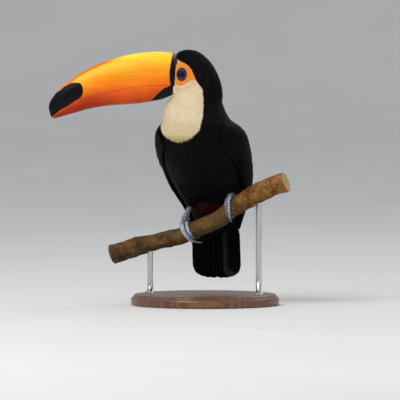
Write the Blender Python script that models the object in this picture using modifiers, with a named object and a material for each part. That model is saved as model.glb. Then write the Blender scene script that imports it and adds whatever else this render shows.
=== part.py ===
"""A life-size toco toucan on a short cut branch, held up by a display stand.

Metres, +Z up. The origin is the middle of the stand's underside. The viewer stands at -Y: the
bird's chest faces -Y, turned a little to -X, and its bill points to -X. The branch runs square
to the bird, from low on the left to high on the right.

The head, neck and trunk are one loft of level slices, parted by thin cuts. The wings, thighs and
tail are solids of their own, let into the trunk. Touching pieces keep a gap of GAP.
"""

import math

import bmesh
import bpy
import numpy as np
from mathutils import Matrix, Vector

MM = 0.001
GAP = 0.3 * MM
TOE_ROOM = 0.9 * MM  # round a back toe that presses into the belly
CUTTER_GROWTH = 0.45 * MM  # a cutter moves out along vertex normals, which slant at its rims

# The stand: a turned wooden foot and two rods.
BASE_RADIUS = 105 * MM
BASE_HEIGHT = 16 * MM
BASE_EDGE_ROUNDING = 3 * MM
ROD_RADIUS = 4 * MM
ROD_DEPTH_IN_BASE = 9 * MM
ROD_PLACES_X = {"low": -78 * MM, "high": 76 * MM}  # under the branch's low end and its high end

# The bird's sagittal plane, and the way it faces.
BODY_YAW = 18.0  # degrees from -Y towards -X
HEAD_YAW = 90.0
HEAD_MIDDLE = Vector((-12.0 * MM, -40.0 * MM, 328.0 * MM))  # between the eyes' level and the nape

# Level slices of head, neck and trunk, from the crown to the end of the tail coverts:
# height, centre x, centre y, facing (degrees), half width, reach forward, reach back (mm).
BODY_SLICES = np.array(
    [
        (362.6, -22.0, -40.0, 90, 0.0, 0.0, 0.0),
        (359.5, -22.0, -40.0, 90, 13.0, 14.0, 12.0),
        (352.0, -17.5, -40.0, 90, 22.0, 36.0, 18.0),
        (343.0, -13.5, -40.0, 90, 26.5, 52.0, 22.5),
        (328.0, -12.0, -40.0, 90, 28.0, 58.0, 29.5),
        (312.0, -12.0, -40.0, 90, 29.5, 48.0, 35.0),
        (299.0, -13.0, -40.0, 86, 31.0, 35.0, 38.0),
        (285.0, -14.0, -40.0, 72, 34.0, 42.0, 40.0),
        (267.0, -11.0, -36.5, 46, 46.0, 50.0, 44.0),
        (250.0, -7.9, -29.9, 27, 57.0, 52.0, 50.0),
        (231.0, -4.8, -20.4, 18, 61.0, 53.0, 52.0),
        (206.0, -0.5, -7.1, 18, 62.0, 54.0, 50.0),
        (184.0, 4.5, 8.1, 18, 58.0, 49.0, 46.0),
        (160.0, 8.8, 21.4, 18, 49.0, 37.0, 38.0),
        (140.0, 12.2, 31.9, 18, 38.0, 22.0, 28.0),
        (122.0, 14.2, 38.0, 18, 31.0, 12.0, 19.0),
        (110.0, 15.2, 41.6, 18, 25.0, 7.0, 12.5),
        (101.0, 15.7, 43.8, 18, 16.5, 4.0, 8.5),
        (94.0, 16.0, 45.0, 18, 8.0, 2.5, 5.5),
    ]
)
HEAD_CUT_Z = 296.0 * MM
NECK_CUT_Z = 266.0 * MM
BODY_SIDES = 24

# The bill, in its own upright plane: distance forward of the base and height above its middle
# (mm), for the ridge, the cutting edge and the underside at matching stations, and the half width.
BILL_BASE = Vector((-42.3 * MM, -40.0 * MM, 327.3 * MM))
BILL_RIDGE = np.array(
    [(-2, 29.5), (18, 32), (47, 30.7), (76, 25), (105, 16), (134, 1.6), (157, -15.5), (171.5, -31),
     (178, -45), (175, -60)]
)
BILL_CUTTING_EDGE = np.array(
    [(2.2, -15.5), (19, -15), (47, -16), (74, -21), (100, -26.5), (124, -33.2), (144, -41), (159, -48.5),
     (168, -55), (173.8, -60.2)]
)
BILL_UNDERSIDE = np.array(
    [(3.5, -28.5), (19, -34.8), (46, -40), (71, -42), (96, -44), (120, -48), (142, -54), (158, -58.5),
     (166.5, -60.8), (171.5, -61.6)]
)
BILL_HALF_WIDTHS = np.array([23.2, 23.6, 22.6, 20.6, 18.2, 15.2, 11.6, 8.0, 4.6, 0.9])
BILL_SQUARENESS = 2.3  # exponent of its superellipse section
LOWER_BILL_INSET = 0.97  # the lower half closes just inside the upper one
BILL_STATIONS = 16
BILL_PLANE_BLOCK = 140 * MM  # a cutter that is larger than the head's front
UPPER_BILL_POINTS = 17
LOWER_BILL_POINTS = 13

# Eyes: balls that stand a little out of the head.
EYE_RADIUS = 6.2 * MM
EYE_AHEAD_OF_HEAD_MIDDLE = 21.2 * MM
EYE_MIDDLE_OFF_AXIS = 21.9 * MM

# Folded wings as bands round the body: height, half width, reach forward and back (used where the
# wing stands wider than the body), the angles from the breastbone of its front and back edges
# (degrees), thickness above the body, depth let in.
WING_SLICES = np.array(
    [
        (263.0, 47.0, 42.0, 40.0, 76, 122, 1.0, 2.0),
        (256.0, 54.0, 47.0, 46.0, 58, 142, 3.4, 3.0),
        (245.0, 59.5, 52.0, 50.0, 48, 156, 5.6, 3.0),
        (231.0, 61.0, 53.0, 52.0, 46, 164, 6.4, 3.0),
        (206.0, 62.0, 54.0, 50.0, 57, 170, 6.0, 3.0),
        (184.0, 60.0, 51.0, 48.0, 68, 172, 6.0, 2.6),
        (160.0, 54.0, 42.0, 43.0, 77, 167, 5.5, 2.0),
        (140.0, 46.0, 32.0, 36.0, 84, 154, 4.5, 1.2),
        (124.0, 41.0, 25.0, 29.0, 91, 138, 3.5, 0.8),
        (112.0, 38.0, 20.0, 24.0, 98, 124, 2.5, 0.8),
        (106.5, 37.0, 19.0, 22.0, 103, 114, 1.2, 0.8),
    ]
)
WING_EDGE_SHARE = 0.3  # of the thickness, left along both edges
WING_ROOM = 0.8 * MM  # its cutter's growth, more than usual because its edges are thin
WING_BAND_POINTS = 8
WING_RINGS = 14

# The tail: height, centre x, centre y, half width, half thickness (mm).
TAIL_SLICES = np.array(
    [
        (124.0, 14.2, 37.6, 25.0, 2.4),
        (112.0, 15.0, 40.4, 32.0, 2.6),
        (100.0, 15.7, 42.6, 35.0, 2.6),
        (80.0, 16.5, 44.8, 36.0, 2.3),
        (60.0, 17.0, 46.6, 36.0, 2.0),
        (50.0, 17.2, 47.4, 33.5, 1.7),
        (43.0, 17.4, 47.9, 28.0, 1.4),
        (39.0, 17.5, 48.2, 20.0, 1.2),
        (37.6, 17.5, 48.3, 11.0, 1.1),
    ]
)
TAIL_SIDES = 16
TAIL_EDGE_POWER = 0.8  # below 1 keeps the section full out to its edges

# The branch: places along its middle (mm) and its radius there.
BRANCH_LINE = np.array(
    [
        (-132.0, 44.0, 70.0, 14.0),
        (-98.0, 33.0, 81.0, 13.6),
        (-65.0, 22.5, 90.0, 11.4),
        (-37.0, 13.3, 96.5, 12.2),
        (-11.0, 5.0, 108.3, 12.1),
        (20.0, -5.3, 122.8, 12.5),
        (37.5, -11.0, 137.2, 12.3),
        (48.0, -14.4, 143.2, 13.2),
        (65.0, -19.8, 153.8, 13.6),
        (84.0, -26.0, 164.5, 14.4),
        (114.0, -35.6, 176.0, 14.8),
    ]
)
BRANCH_STATIONS = 19
GRIP_CHORD = 16.0 * MM  # a foot's plane is square to the branch's run over this far each way

# Feet: place along X of the grip, drift along the branch from the top of the grip to its bottom and
# the power it grows by, the heel, ankle and hip that the leg runs through, half the spread of a pair
# of toes at its root and its tips, a toe's radius at its tip (mm), and the share of the full wrap
# that it reaches.
FEET = {
    "right": dict(
        grip_x=-22.5, drift=(0.6, 8.2), bend=3.0,
        heel=(-28.5, 4.0, 122.0), ankle=(-20.5, 6.0, 141.0), hip=(-17.0, -4.0, 178.0),
        spread=(3.8, 3.4), toe_end=2.9, reach=1.0,
    ),
    "left": dict(
        grip_x=38.0, drift=(9.0, -14.8), bend=1.0,
        heel=(36.5, -14.0, 157.0), ankle=(34.5, -10.5, 166.0), hip=(26.0, -23.0, 197.0),
        spread=(4.0, 2.2), toe_end=2.3, reach=0.88,
    ),
}
TOE_ROOT_RADIUS = 3.7 * MM
TOE_STEP = 20.0  # degrees of wrap between the points of a toe
FRONT_TOES = (94.0, -70.0)  # wrap angles: 0 is the side facing the viewer, 90 the top
BACK_TOES = (86.0, 206.0)
INNER_TOE_SHARE = 0.8  # the inner toe of each pair is shorter
CLAW_SEAT = 5.5  # degrees of claw that are let into its toe
CLAW_WRAP = 38.0  # degrees
CLAW_DRIFT = {"outer": 11.0 * MM, "inner": 1.0 * MM}  # up the branch, from a claw's root to its point
CLAW_LIFTS = np.array([2.9, 3.6, 3.9, 3.5, 2.4]) * MM  # middle of the claw above the bark
CLAW_RADII = np.array([2.0, 1.9, 1.5, 1.0, 0.45]) * MM
TARSUS_RADII = np.array([5.4, 5.8, 5.6, 4.6, 3.9]) * MM
THIGH_RADII = np.array([6.5, 10.0, 14.5, 18.5, 19.0, 14.0, 6.0]) * MM


# ---------------------------------------------------------------- helpers


def collection(name):
    made = bpy.data.collections.new(name)
    bpy.context.scene.collection.children.link(made)
    return made


def material(name, colour, roughness, metallic=0.0):
    made = bpy.data.materials.new(name)
    made.use_nodes = True
    shader = made.node_tree.nodes["Principled BSDF"]
    shader.inputs["Base Color"].default_value = (*colour, 1.0)
    shader.inputs["Roughness"].default_value = roughness
    shader.inputs["Metallic"].default_value = metallic
    return made


def add_object(name, data, finish, place):
    made = bpy.data.objects.new(name, data)
    data.materials.append(finish)
    place.objects.link(made)
    return made


def smooth_rows(rows, at):
    """Cubic Hermite curve through the rows at 0, 1, 2..., read at the numbers in at."""
    rows = np.asarray(rows, float)
    slopes = np.gradient(rows, axis=0)
    at = np.asarray(at, float)
    first = np.clip(np.floor(at).astype(int), 0, len(rows) - 2)
    t = (at - first)[:, None]
    return (
        (2 * t**3 - 3 * t**2 + 1) * rows[first]
        + (t**3 - 2 * t**2 + t) * slopes[first]
        + (3 * t**2 - 2 * t**3) * rows[first + 1]
        + (t**3 - t**2) * slopes[first + 1]
    )


def facing(yaw):
    """Forward and left for a yaw in degrees, as two level unit vectors."""
    a = np.radians(yaw)
    zero = np.zeros_like(a)
    forward = np.stack([-np.sin(a), -np.cos(a), zero], -1)
    left = np.stack([np.cos(a), -np.sin(a), zero], -1)
    return forward, left


def loft(name, rings, finish, place):
    """A closed solid through rings of equal point counts, with a flat face on each end."""
    rings = np.asarray(rings, float)
    count, sides = rings.shape[:2]
    mesh = bpy.data.meshes.new(name)
    bm = bmesh.new()
    grid = [[bm.verts.new(p) for p in ring] for ring in rings]
    for a, b in zip(grid, grid[1:]):
        for i in range(sides):
            j = (i + 1) % sides
            bm.faces.new((a[i], a[j], b[j], b[i]))
    bm.faces.new(grid[0][::-1])
    bm.faces.new(grid[count - 1])
    bmesh.ops.remove_doubles(bm, verts=bm.verts, dist=0.01 * MM)
    bmesh.ops.recalc_face_normals(bm, faces=bm.faces)
    bmesh.ops.triangulate(bm, faces=bm.faces)
    bm.to_mesh(mesh)
    bm.free()
    made = add_object(name, mesh, finish, place)
    shade(made)
    return made


def shade(obj, crease=50.0):
    obj.data.shade_smooth()
    obj.data.set_sharp_from_angle(angle=math.radians(crease))


def tube(name, points, radii, finish, place, resolution=2):
    """A curve with round section and filled caps through the points, as thick as its radii."""
    curve = bpy.data.curves.new(name, "CURVE")
    curve.dimensions = "3D"
    curve.bevel_depth = 1.0
    curve.bevel_resolution = resolution
    curve.use_fill_caps = True
    line = curve.splines.new("POLY")
    line.points.add(len(points) - 1)
    for knot, point, radius in zip(line.points, points, radii):
        knot.co = (*point, 1.0)
        knot.radius = radius
    return add_object(name, curve, finish, place)


def as_mesh(obj):
    """Swaps a curve object for a welded mesh object of the same name."""
    graph = bpy.context.evaluated_depsgraph_get()
    mesh = bpy.data.meshes.new_from_object(obj.evaluated_get(graph))
    bm = bmesh.new()
    bm.from_mesh(mesh)
    bmesh.ops.remove_doubles(bm, verts=bm.verts, dist=0.01 * MM)
    bmesh.ops.recalc_face_normals(bm, faces=bm.faces)
    bmesh.ops.triangulate(bm, faces=bm.faces)
    bm.to_mesh(mesh)
    bm.free()
    name, place = obj.name, obj.users_collection[0]
    curve = obj.data
    bpy.data.objects.remove(obj)
    bpy.data.curves.remove(curve)
    made = bpy.data.objects.new(name, mesh)
    place.objects.link(made)
    shade(made)
    return made


def cut(host, cutter):
    """Takes the hidden cutter out of the host."""
    cutter.hide_render = True
    cutter.display_type = "WIRE"
    step = host.modifiers.new("cut_" + cutter.name, "BOOLEAN")
    step.operation = "DIFFERENCE"
    step.object = cutter


def join(host, piece):
    """Makes the piece, which is then hidden, part of the host."""
    piece.hide_render = True
    piece.display_type = "WIRE"
    step = host.modifiers.new("with_" + piece.name, "BOOLEAN")
    step.operation = "UNION"
    step.solver = "MANIFOLD"  # the exact one loses a foot whose toes start in one plane
    step.object = piece


def let_in(host, piece, place, room=CUTTER_GROWTH):
    """Makes room in the host for a piece, a gap larger all round."""
    cutter = bpy.data.objects.new(f"room_for_{piece.name}_in_{host.name}", piece.data)
    cutter.matrix_world = piece.matrix_world
    place.objects.link(cutter)
    growth = cutter.modifiers.new("growth", "DISPLACE")
    growth.mid_level = 0.0
    growth.strength = room
    cut(host, cutter)


# ---------------------------------------------------------------- head, neck and trunk


def body_ring(at):
    """The level slice of the body at a place among the stations, as points round it.

    Each slice is a half ellipse in front and another behind, which share their width. The point
    at angle a is the centre, plus cos(a) times the reach along the facing, plus sin(a) times the
    half width to the left.
    """
    z, x, y, yaw, side, front, back = smooth_rows(BODY_SLICES, [at])[0]
    forward, left = facing(yaw)
    a = np.linspace(0, 2 * math.pi, BODY_SIDES, endpoint=False)[:, None]
    reach = np.where(np.cos(a) > 0, max(front, 0.05), max(back, 0.05))
    ring = np.array([x, y, z]) + np.cos(a) * reach * forward + np.sin(a) * max(side, 0.05) * left
    return ring * MM


def station_at(height):
    """The place among the body's stations whose slice lies at this height."""
    at = np.linspace(0, len(BODY_SLICES) - 1, 2000)
    z = smooth_rows(BODY_SLICES[:, :1], at)[:, 0] * MM
    return float(np.interp(-height, -z, at))


def body_length(name, top, bottom, rings, finish, place):
    """The stretch of the body between two stations."""
    return loft(name, [body_ring(at) for at in np.linspace(top, bottom, rings)], finish, place)


def make_body(finish, place, cutters):
    last = len(BODY_SLICES) - 1.0
    head = body_length("head", 0.0, station_at(HEAD_CUT_Z + GAP / 2), 14, finish["black"], place)
    neck = body_length(
        "neck", station_at(HEAD_CUT_Z - GAP / 2), station_at(NECK_CUT_Z + GAP / 2), 6, finish["white"], place
    )
    trunk = body_length("trunk", station_at(NECK_CUT_Z - GAP / 2), last, 17, finish["black"], place)
    cut(head, bill_plane_cutter(cutters))
    return head, neck, trunk


def bill_plane_cutter(cutters):
    """A block in front of the plane on which the bill's base sits."""
    top, bottom = BILL_RIDGE[0], BILL_UNDERSIDE[0]
    lean = math.atan2(bottom[0] - top[0], top[1] - bottom[1])
    middle = (top + bottom) / 2 * MM
    mesh = bpy.data.meshes.new("bill_plane")
    bm = bmesh.new()
    bmesh.ops.create_cube(bm, size=BILL_PLANE_BLOCK)
    bm.to_mesh(mesh)
    bm.free()
    block = bpy.data.objects.new("bill_plane", mesh)
    turn = Matrix.Rotation(lean, 4, "Y")
    face = BILL_BASE + Vector((-middle[0], 0, middle[1]))
    back = Matrix.Translation((GAP - BILL_PLANE_BLOCK / 2, 0, 0))
    block.matrix_world = Matrix.Translation(face) @ turn @ back
    cutters.objects.link(block)
    return block


# ---------------------------------------------------------------- bill and eyes


def bill_rings(upper):
    """Sections of one half of the bill.

    A whole section is a superellipse between the underside and the ridge. The cutting edge
    parts it, and each half is closed by a flat face there.
    """
    at = np.linspace(0, len(BILL_RIDGE) - 1, BILL_STATIONS)
    ridge, edge, under = (smooth_rows(t, at) for t in (BILL_RIDGE, BILL_CUTTING_EDGE, BILL_UNDERSIDE))
    width = smooth_rows(BILL_HALF_WIDTHS[:, None], at)[:, 0]
    power = 2 / BILL_SQUARENESS
    rings = []
    for r, e, u, w in zip(ridge, edge, under, width):
        lower_height = np.linalg.norm(e - u)
        share = lower_height / (lower_height + np.linalg.norm(r - e))
        level = 2 * share - 1
        start = math.asin(math.copysign(abs(level) ** (1 / power), level))
        if upper:
            angles = np.linspace(start, math.pi - start, UPPER_BILL_POINTS)
        else:
            angles = np.linspace(start, -math.pi - start, LOWER_BILL_POINTS)
        height = 0.5 + 0.5 * np.sign(np.sin(angles)) * np.abs(np.sin(angles)) ** power
        across = np.sign(np.cos(angles)) * np.abs(np.cos(angles)) ** power * w
        if upper:
            t = ((height - share) / (1 - share))[:, None]
            flat = e + t * (r - e) + (0, GAP / 2 / MM)
        else:
            t = (height / share)[:, None]
            flat = u + t * (e - u) - (0, GAP / 2 / MM)
            across = across * LOWER_BILL_INSET
        rings.append(np.stack([-flat[:, 0], -across, flat[:, 1]], -1) * MM + np.array(BILL_BASE))
    return rings


def make_bill(finish, place):
    loft("bill_upper", bill_rings(True), finish["bill"], place)
    loft("bill_lower", bill_rings(False), finish["bill_red"], place)


def make_eyes(head, finish, place, cutters):
    forward, left = (Vector(v) for v in facing(HEAD_YAW))
    middle = HEAD_MIDDLE + forward * EYE_AHEAD_OF_HEAD_MIDDLE
    for side, sign in (("left", 1), ("right", -1)):
        mesh = bpy.data.meshes.new("eye_" + side)
        bm = bmesh.new()
        bmesh.ops.create_uvsphere(bm, u_segments=12, v_segments=8, radius=EYE_RADIUS)
        bmesh.ops.rotate(bm, verts=bm.verts, matrix=Matrix.Rotation(math.radians(90), 3, "X"))
        bm.to_mesh(mesh)
        bm.free()
        eye = add_object("eye_" + side, mesh, finish["eye"], place)
        eye.matrix_world = Matrix.Translation(middle + left * (sign * EYE_MIDDLE_OFF_AXIS))
        shade(eye)
        let_in(head, eye, cutters)


# ---------------------------------------------------------------- wings and tail


def reach_of(outline, toward):
    """How far a slice reaches from its centre in the level directions toward: one over the root of
    the summed squares of each direction's share forward or back, and of its share to the side."""
    yaw, side, front, back = outline
    forward, left = facing(yaw)
    ahead, aside = toward @ forward, toward @ left
    depth = np.where(ahead > 0, max(front, 0.05), max(back, 0.05))
    return 1 / np.sqrt((ahead / depth) ** 2 + (aside / max(side, 0.05)) ** 2)


def wing_ring(at, sign):
    """A slice of a folded wing: a curved band, out along its outer face and back along its inner.

    The outer face stands off the body, or the wing's own ellipse where that is wider, by a
    thickness that falls to both edges as one minus the square of the distance from the middle.
    """
    z, side, front, back, first, last, thick, depth = smooth_rows(WING_SLICES, [at])[0]
    _, x, y, *body_outline = smooth_rows(BODY_SLICES, [station_at(z * MM)])[0]
    forward, left = facing(BODY_YAW)
    middle = np.array([x, y, z])
    across = np.linspace(-1, 1, WING_BAND_POINTS)
    a = np.radians(first + (across + 1) / 2 * (last - first))[:, None]
    toward = np.cos(a) * forward + np.sin(a) * left * sign
    own = reach_of((BODY_YAW, side, front, back), toward)
    reach = np.maximum(reach_of(body_outline, toward), own)[:, None]
    rise = thick * (WING_EDGE_SHARE + (1 - WING_EDGE_SHARE) * (1 - across[:, None] ** 2))
    outer = middle + toward * (reach + rise)
    inner = middle + toward * (reach - depth)
    return np.concatenate([outer, inner[::-1]]) * MM


def make_wings(trunk, finish, place, cutters):
    for name, sign in (("wing_left", 1), ("wing_right", -1)):
        stations = np.linspace(0, len(WING_SLICES) - 1, WING_RINGS)
        wing = loft(name, [wing_ring(at, sign) for at in stations], finish["wing"], place)
        let_in(trunk, wing, cutters, WING_ROOM)


def make_tail(trunk, finish, place, cutters):
    """A flat fan, rounded at its end. Its section is an ellipse that keeps full out to the edges."""
    forward, left = facing(BODY_YAW)
    a = np.linspace(0, 2 * math.pi, TAIL_SIDES, endpoint=False)[:, None]
    rings = []
    for z, x, y, side, thick in smooth_rows(TAIL_SLICES, np.linspace(0, len(TAIL_SLICES) - 1, 14)):
        along = np.sign(np.sin(a)) * np.abs(np.sin(a)) ** TAIL_EDGE_POWER
        rings.append((np.array([x, y, z]) + np.cos(a) * thick * forward + along * side * left) * MM)
    tail = loft("tail", rings, finish["tail"], place)
    let_in(trunk, tail, cutters)


# ---------------------------------------------------------------- branch, legs and stand


def branch_at(x):
    """Middle and radius of the branch at this x, in metres."""
    line = smooth_rows(BRANCH_LINE, np.linspace(0, len(BRANCH_LINE) - 1, 1000)) * MM
    y, z, radius = (float(np.interp(x, line[:, 0], line[:, k])) for k in (1, 2, 3))
    return Vector((x, y, z)), radius


def make_branch(finish, place):
    line = smooth_rows(BRANCH_LINE, np.linspace(0, len(BRANCH_LINE) - 1, BRANCH_STATIONS)) * MM
    branch = tube("perch_branch", line[:, :3], line[:, 3], finish["bark"], place, resolution=3)
    return as_mesh(branch)


def wrap_point(grip, angle, lift, offset=0.0):
    """A point round the branch: angle 0 faces the viewer and 90 is the top. offset is along it."""
    x, along, up, front, drift, bend = grip
    share = min(abs(90.0 - angle) / 180.0, 1.0) ** bend
    shift = drift[0] + (drift[1] - drift[0]) * share + offset
    middle, radius = branch_at(x + along.x * shift)
    a = math.radians(angle)
    return middle + (front * math.cos(a) + up * math.sin(a)) * (radius + lift)


def make_toe(name, grip, shape, finish, place, cutters):
    """A toe that wraps round the branch, to be joined to its foot, and the claw on its end.

    shape is the first and last angle, the place along the branch at each, the radius at the tip,
    and how far the claw drifts along the branch.
    """
    (start, end), offsets, tip_radius, drift = shape
    steps = max(3, int(abs(end - start) / TOE_STEP) + 1)
    angles = np.linspace(start, end, steps)
    radii = np.linspace(TOE_ROOT_RADIUS, tip_radius, steps)
    aside = np.linspace(*offsets, steps)
    points = [wrap_point(grip, a, GAP + r, o) for a, r, o in zip(angles, radii, aside)]
    toe = as_mesh(tube("toe_" + name, points, radii, finish["foot"], cutters))
    turn = math.copysign(1.0, end - start)
    claw_angles = end + turn * (np.linspace(0, CLAW_WRAP, len(CLAW_RADII)) - CLAW_SEAT)
    aside = offsets[1] + np.linspace(0, 1, len(CLAW_RADII)) ** 1.5 * drift
    points = [wrap_point(grip, a, lift, o) for a, lift, o in zip(claw_angles, CLAW_LIFTS, aside)]
    claw = as_mesh(tube("claw_" + name, points, CLAW_RADII, finish["claw"], place, resolution=1))
    return toe, claw


def make_leg(side, facts, trunk, branch, finish, place, cutters):
    """One leg: the feathered thigh, and the foot, which is the tarsus and four toes in one."""
    x = facts["grip_x"] * MM
    along = (branch_at(x + GRIP_CHORD)[0] - branch_at(x - GRIP_CHORD)[0]).normalized()
    up = (Vector((0, 0, 1)) - along * along.z).normalized()
    front = along.cross(up)
    front = front if front.y < 0 else -front
    drift = [d * MM for d in facts["drift"]]
    grip = (x, along, up, front, drift, facts["bend"])
    heel, ankle, hip = (Vector(facts[joint]) * MM for joint in ("heel", "ankle", "hip"))
    sole = wrap_point(grip, 90.0, GAP)
    top = ankle - (ankle - heel).normalized() * GAP
    knots = [sole, sole.lerp(heel, 0.6), heel, heel.lerp(top, 0.5), top]
    foot = as_mesh(tube("foot_" + side, knots, TARSUS_RADII, finish["foot"], place))
    outer = 1 if side == "left" else -1
    toes, claws = [], []
    for pair, (start, end) in (("front", FRONT_TOES), ("back", BACK_TOES)):
        for rank, sign, share in (("outer", outer, 1.0), ("inner", -outer, INNER_TOE_SHARE)):
            wrap = (start, start + (end - start) * share * facts["reach"])
            offsets = [sign * half * MM for half in facts["spread"]]
            shape = (wrap, offsets, facts["toe_end"] * MM, CLAW_DRIFT[rank])
            toe, claw = make_toe(f"{side}_{pair}_{rank}", grip, shape, finish, place, cutters)
            join(foot, toe)
            toes.append(toe)
            claws.append(claw)
    for neighbour in (*claws, branch):
        let_in(foot, neighbour, cutters)
    stretch = [ankle.lerp(hip, t) for t in np.linspace(0, 1.0, len(THIGH_RADII))]
    thigh = as_mesh(tube("thigh_" + side, stretch, THIGH_RADII, finish["black"], place))
    for host, piece in ((thigh, foot), (trunk, thigh), (trunk, foot)):
        let_in(host, piece, cutters)
    for back_toe in toes[2:]:
        let_in(trunk, back_toe, cutters, TOE_ROOM)


def cylinder(name, radius, low, high, x, y, sides, finish, place):
    mesh = bpy.data.meshes.new(name)
    bm = bmesh.new()
    bmesh.ops.create_cone(
        bm, cap_ends=True, segments=sides, radius1=radius, radius2=radius, depth=high - low
    )
    bm.to_mesh(mesh)
    bm.free()
    made = add_object(name, mesh, finish, place)
    made.location = (x, y, (low + high) / 2)
    shade(made)
    return made


def make_stand(branch, finish, place, cutters):
    base = cylinder("stand_base", BASE_RADIUS, 0, BASE_HEIGHT, 0, 0, 36, finish["base"], place)
    edge = base.modifiers.new("rounded_edge", "BEVEL")
    edge.width = BASE_EDGE_ROUNDING
    edge.segments = 2
    edge.limit_method = "ANGLE"
    for end, x in ROD_PLACES_X.items():
        middle, _ = branch_at(x)
        low = BASE_HEIGHT - ROD_DEPTH_IN_BASE
        rod = cylinder(
            "stand_rod_" + end, ROD_RADIUS, low, middle.z, x, middle.y, 16, finish["rod"], place
        )
        bpy.context.view_layer.update()
        let_in(base, rod, cutters)
        let_in(branch, rod, cutters)


# ---------------------------------------------------------------- build


def main():
    for old in list(bpy.data.objects):
        bpy.data.objects.remove(old)
    place, cutters = collection("toucan"), collection("cutters")
    finish = {
        "black": material("black_plumage", (0.010, 0.009, 0.010), 0.6),
        "white": material("cream_bib", (0.78, 0.68, 0.50), 0.7),
        "wing": material("black_wing", (0.014, 0.013, 0.014), 0.5),
        "tail": material("black_tail", (0.012, 0.012, 0.013), 0.5),
        "bill": material("orange_bill", (0.92, 0.36, 0.03), 0.3),
        "bill_red": material("red_orange_bill", (0.80, 0.13, 0.02), 0.3),
        "eye": material("dark_eye", (0.02, 0.012, 0.012), 0.05),
        "foot": material("blue_grey_foot", (0.30, 0.38, 0.46), 0.55),
        "claw": material("horn_claw", (0.10, 0.11, 0.13), 0.35),
        "bark": material("brown_bark", (0.26, 0.14, 0.06), 0.85),
        "base": material("walnut_base", (0.16, 0.08, 0.04), 0.4),
        "rod": material("brushed_rod", (0.60, 0.58, 0.55), 0.3, metallic=1.0),
    }
    head, _, trunk = make_body(finish, place, cutters)
    make_bill(finish, place)
    make_eyes(head, finish, place, cutters)
    make_wings(trunk, finish, place, cutters)
    make_tail(trunk, finish, place, cutters)
    branch = make_branch(finish, place)
    for side, facts in FEET.items():
        make_leg(side, facts, trunk, branch, finish, place, cutters)
    make_stand(branch, finish, place, cutters)


main()
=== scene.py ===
# %% Tools
import math

import bpy
import numpy as np
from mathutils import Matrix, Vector


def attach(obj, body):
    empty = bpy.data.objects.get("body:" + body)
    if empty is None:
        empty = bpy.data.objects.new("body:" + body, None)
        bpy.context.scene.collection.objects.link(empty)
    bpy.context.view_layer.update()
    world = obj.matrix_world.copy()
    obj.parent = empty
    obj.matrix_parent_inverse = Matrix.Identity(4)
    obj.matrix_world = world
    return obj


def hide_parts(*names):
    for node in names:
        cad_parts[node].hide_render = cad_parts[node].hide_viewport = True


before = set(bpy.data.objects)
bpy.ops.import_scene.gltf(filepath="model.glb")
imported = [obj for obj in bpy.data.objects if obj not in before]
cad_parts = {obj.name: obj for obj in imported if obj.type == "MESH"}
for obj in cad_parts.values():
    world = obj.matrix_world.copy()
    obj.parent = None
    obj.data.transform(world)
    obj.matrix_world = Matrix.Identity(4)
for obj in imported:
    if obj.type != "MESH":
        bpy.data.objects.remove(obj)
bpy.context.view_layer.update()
MM = 0.001  # every length below is in millimetres, and becomes metres in the meshes

# %% [markdown]
# # A toco toucan on a cut branch
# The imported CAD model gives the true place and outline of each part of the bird, its perch and
# its stand. This lesson dresses it. Every new piece is a surface worked out with numpy as whole
# arrays, and each finish is a tree of procedural nodes.
#
# The bird is described once, in measures along its body. The skin, the feathers and the markings
# all ask the same few functions where the body is, which way it faces and how its coat lies.
#
# ## Camera
# A bird this small is watched from a distance through a long lens, which flattens it. So the
# camera stands seven metres away, a little above the bird, with a narrow angle of view.

# %% Camera
CAMERA_DISTANCE = 7.0  # metres
CAMERA_RISE = math.radians(2.0)  # how steeply the camera looks down
AIM = Vector((-0.0071, 0.0, 0.1491))  # the middle of the view, in metres
lens = bpy.data.cameras.new("long_lens")
lens.sensor_width, lens.lens = 36.0, 444.0
lens.clip_start, lens.clip_end = 0.5, 60.0
camera = bpy.data.objects.new("camera", lens)
bpy.context.scene.collection.objects.link(camera)
towards_camera = Vector((0, -math.cos(CAMERA_RISE), math.sin(CAMERA_RISE)))
camera.location = AIM + towards_camera * CAMERA_DISTANCE
camera.rotation_euler = (-towards_camera).to_track_quat("-Z", "Y").to_euler()
bpy.context.scene.camera = camera
print("the camera sees", round(CAMERA_DISTANCE * lens.sensor_width / lens.lens * 1000), "mm")

# %% [markdown]
# ## From arrays to meshes
# Blender can take a mesh as three flat lists: the points, the corners of the faces, and where
# each face starts. `foreach_set` copies whole numpy arrays into them, which is far quicker than
# adding points one by one. Each surface here is a grid of rows and columns. A closed one has its
# columns wrapped round and a point at each end.

# %% Mesh helpers
def unit(v):
    """Each vector divided by its length."""
    return v / np.maximum(np.linalg.norm(v, axis=-1, keepdims=True), 1e-9)


def ease(low, high, x):
    """0 below low and 1 above high, and 3t² - 2t³ between, so that it starts and ends level."""
    t = np.clip((x - low) / (high - low), 0, 1)
    return t * t * (3 - 2 * t)


def smooth_rows(rows, at):
    """Cubic Hermite curve through the rows at 0, 1, 2..., read at the numbers in at.

    A row's slope is half the step from the row before it to the row after it.
    """
    rows, at = np.asarray(rows, float), np.asarray(at, float)
    slopes = np.gradient(rows, axis=0)
    first = np.clip(np.floor(at).astype(int), 0, len(rows) - 2)
    t = (at - first)[..., None]
    ends = (2 * t**3 - 3 * t**2 + 1) * rows[first] + (3 * t**2 - 2 * t**3) * rows[first + 1]
    return ends + (t**3 - 2 * t**2 + t) * slopes[first] + (t**3 - t**2) * slopes[first + 1]


def turns(sides):
    """Angles evenly round a circle, from 0."""
    return np.linspace(0, 2 * math.pi, sides, endpoint=False)


def grid_faces(rows, columns, wrap=False):
    """The four corners of each cell: this point, the one below, the one below right, the right."""
    r, c = np.meshgrid(np.arange(rows - 1), np.arange(columns if wrap else columns - 1), indexing="ij")
    right = (c + 1) % columns
    corners = [r * columns + c, (r + 1) * columns + c, (r + 1) * columns + right, r * columns + right]
    return np.stack(corners, -1).reshape(-1, 4)


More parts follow.
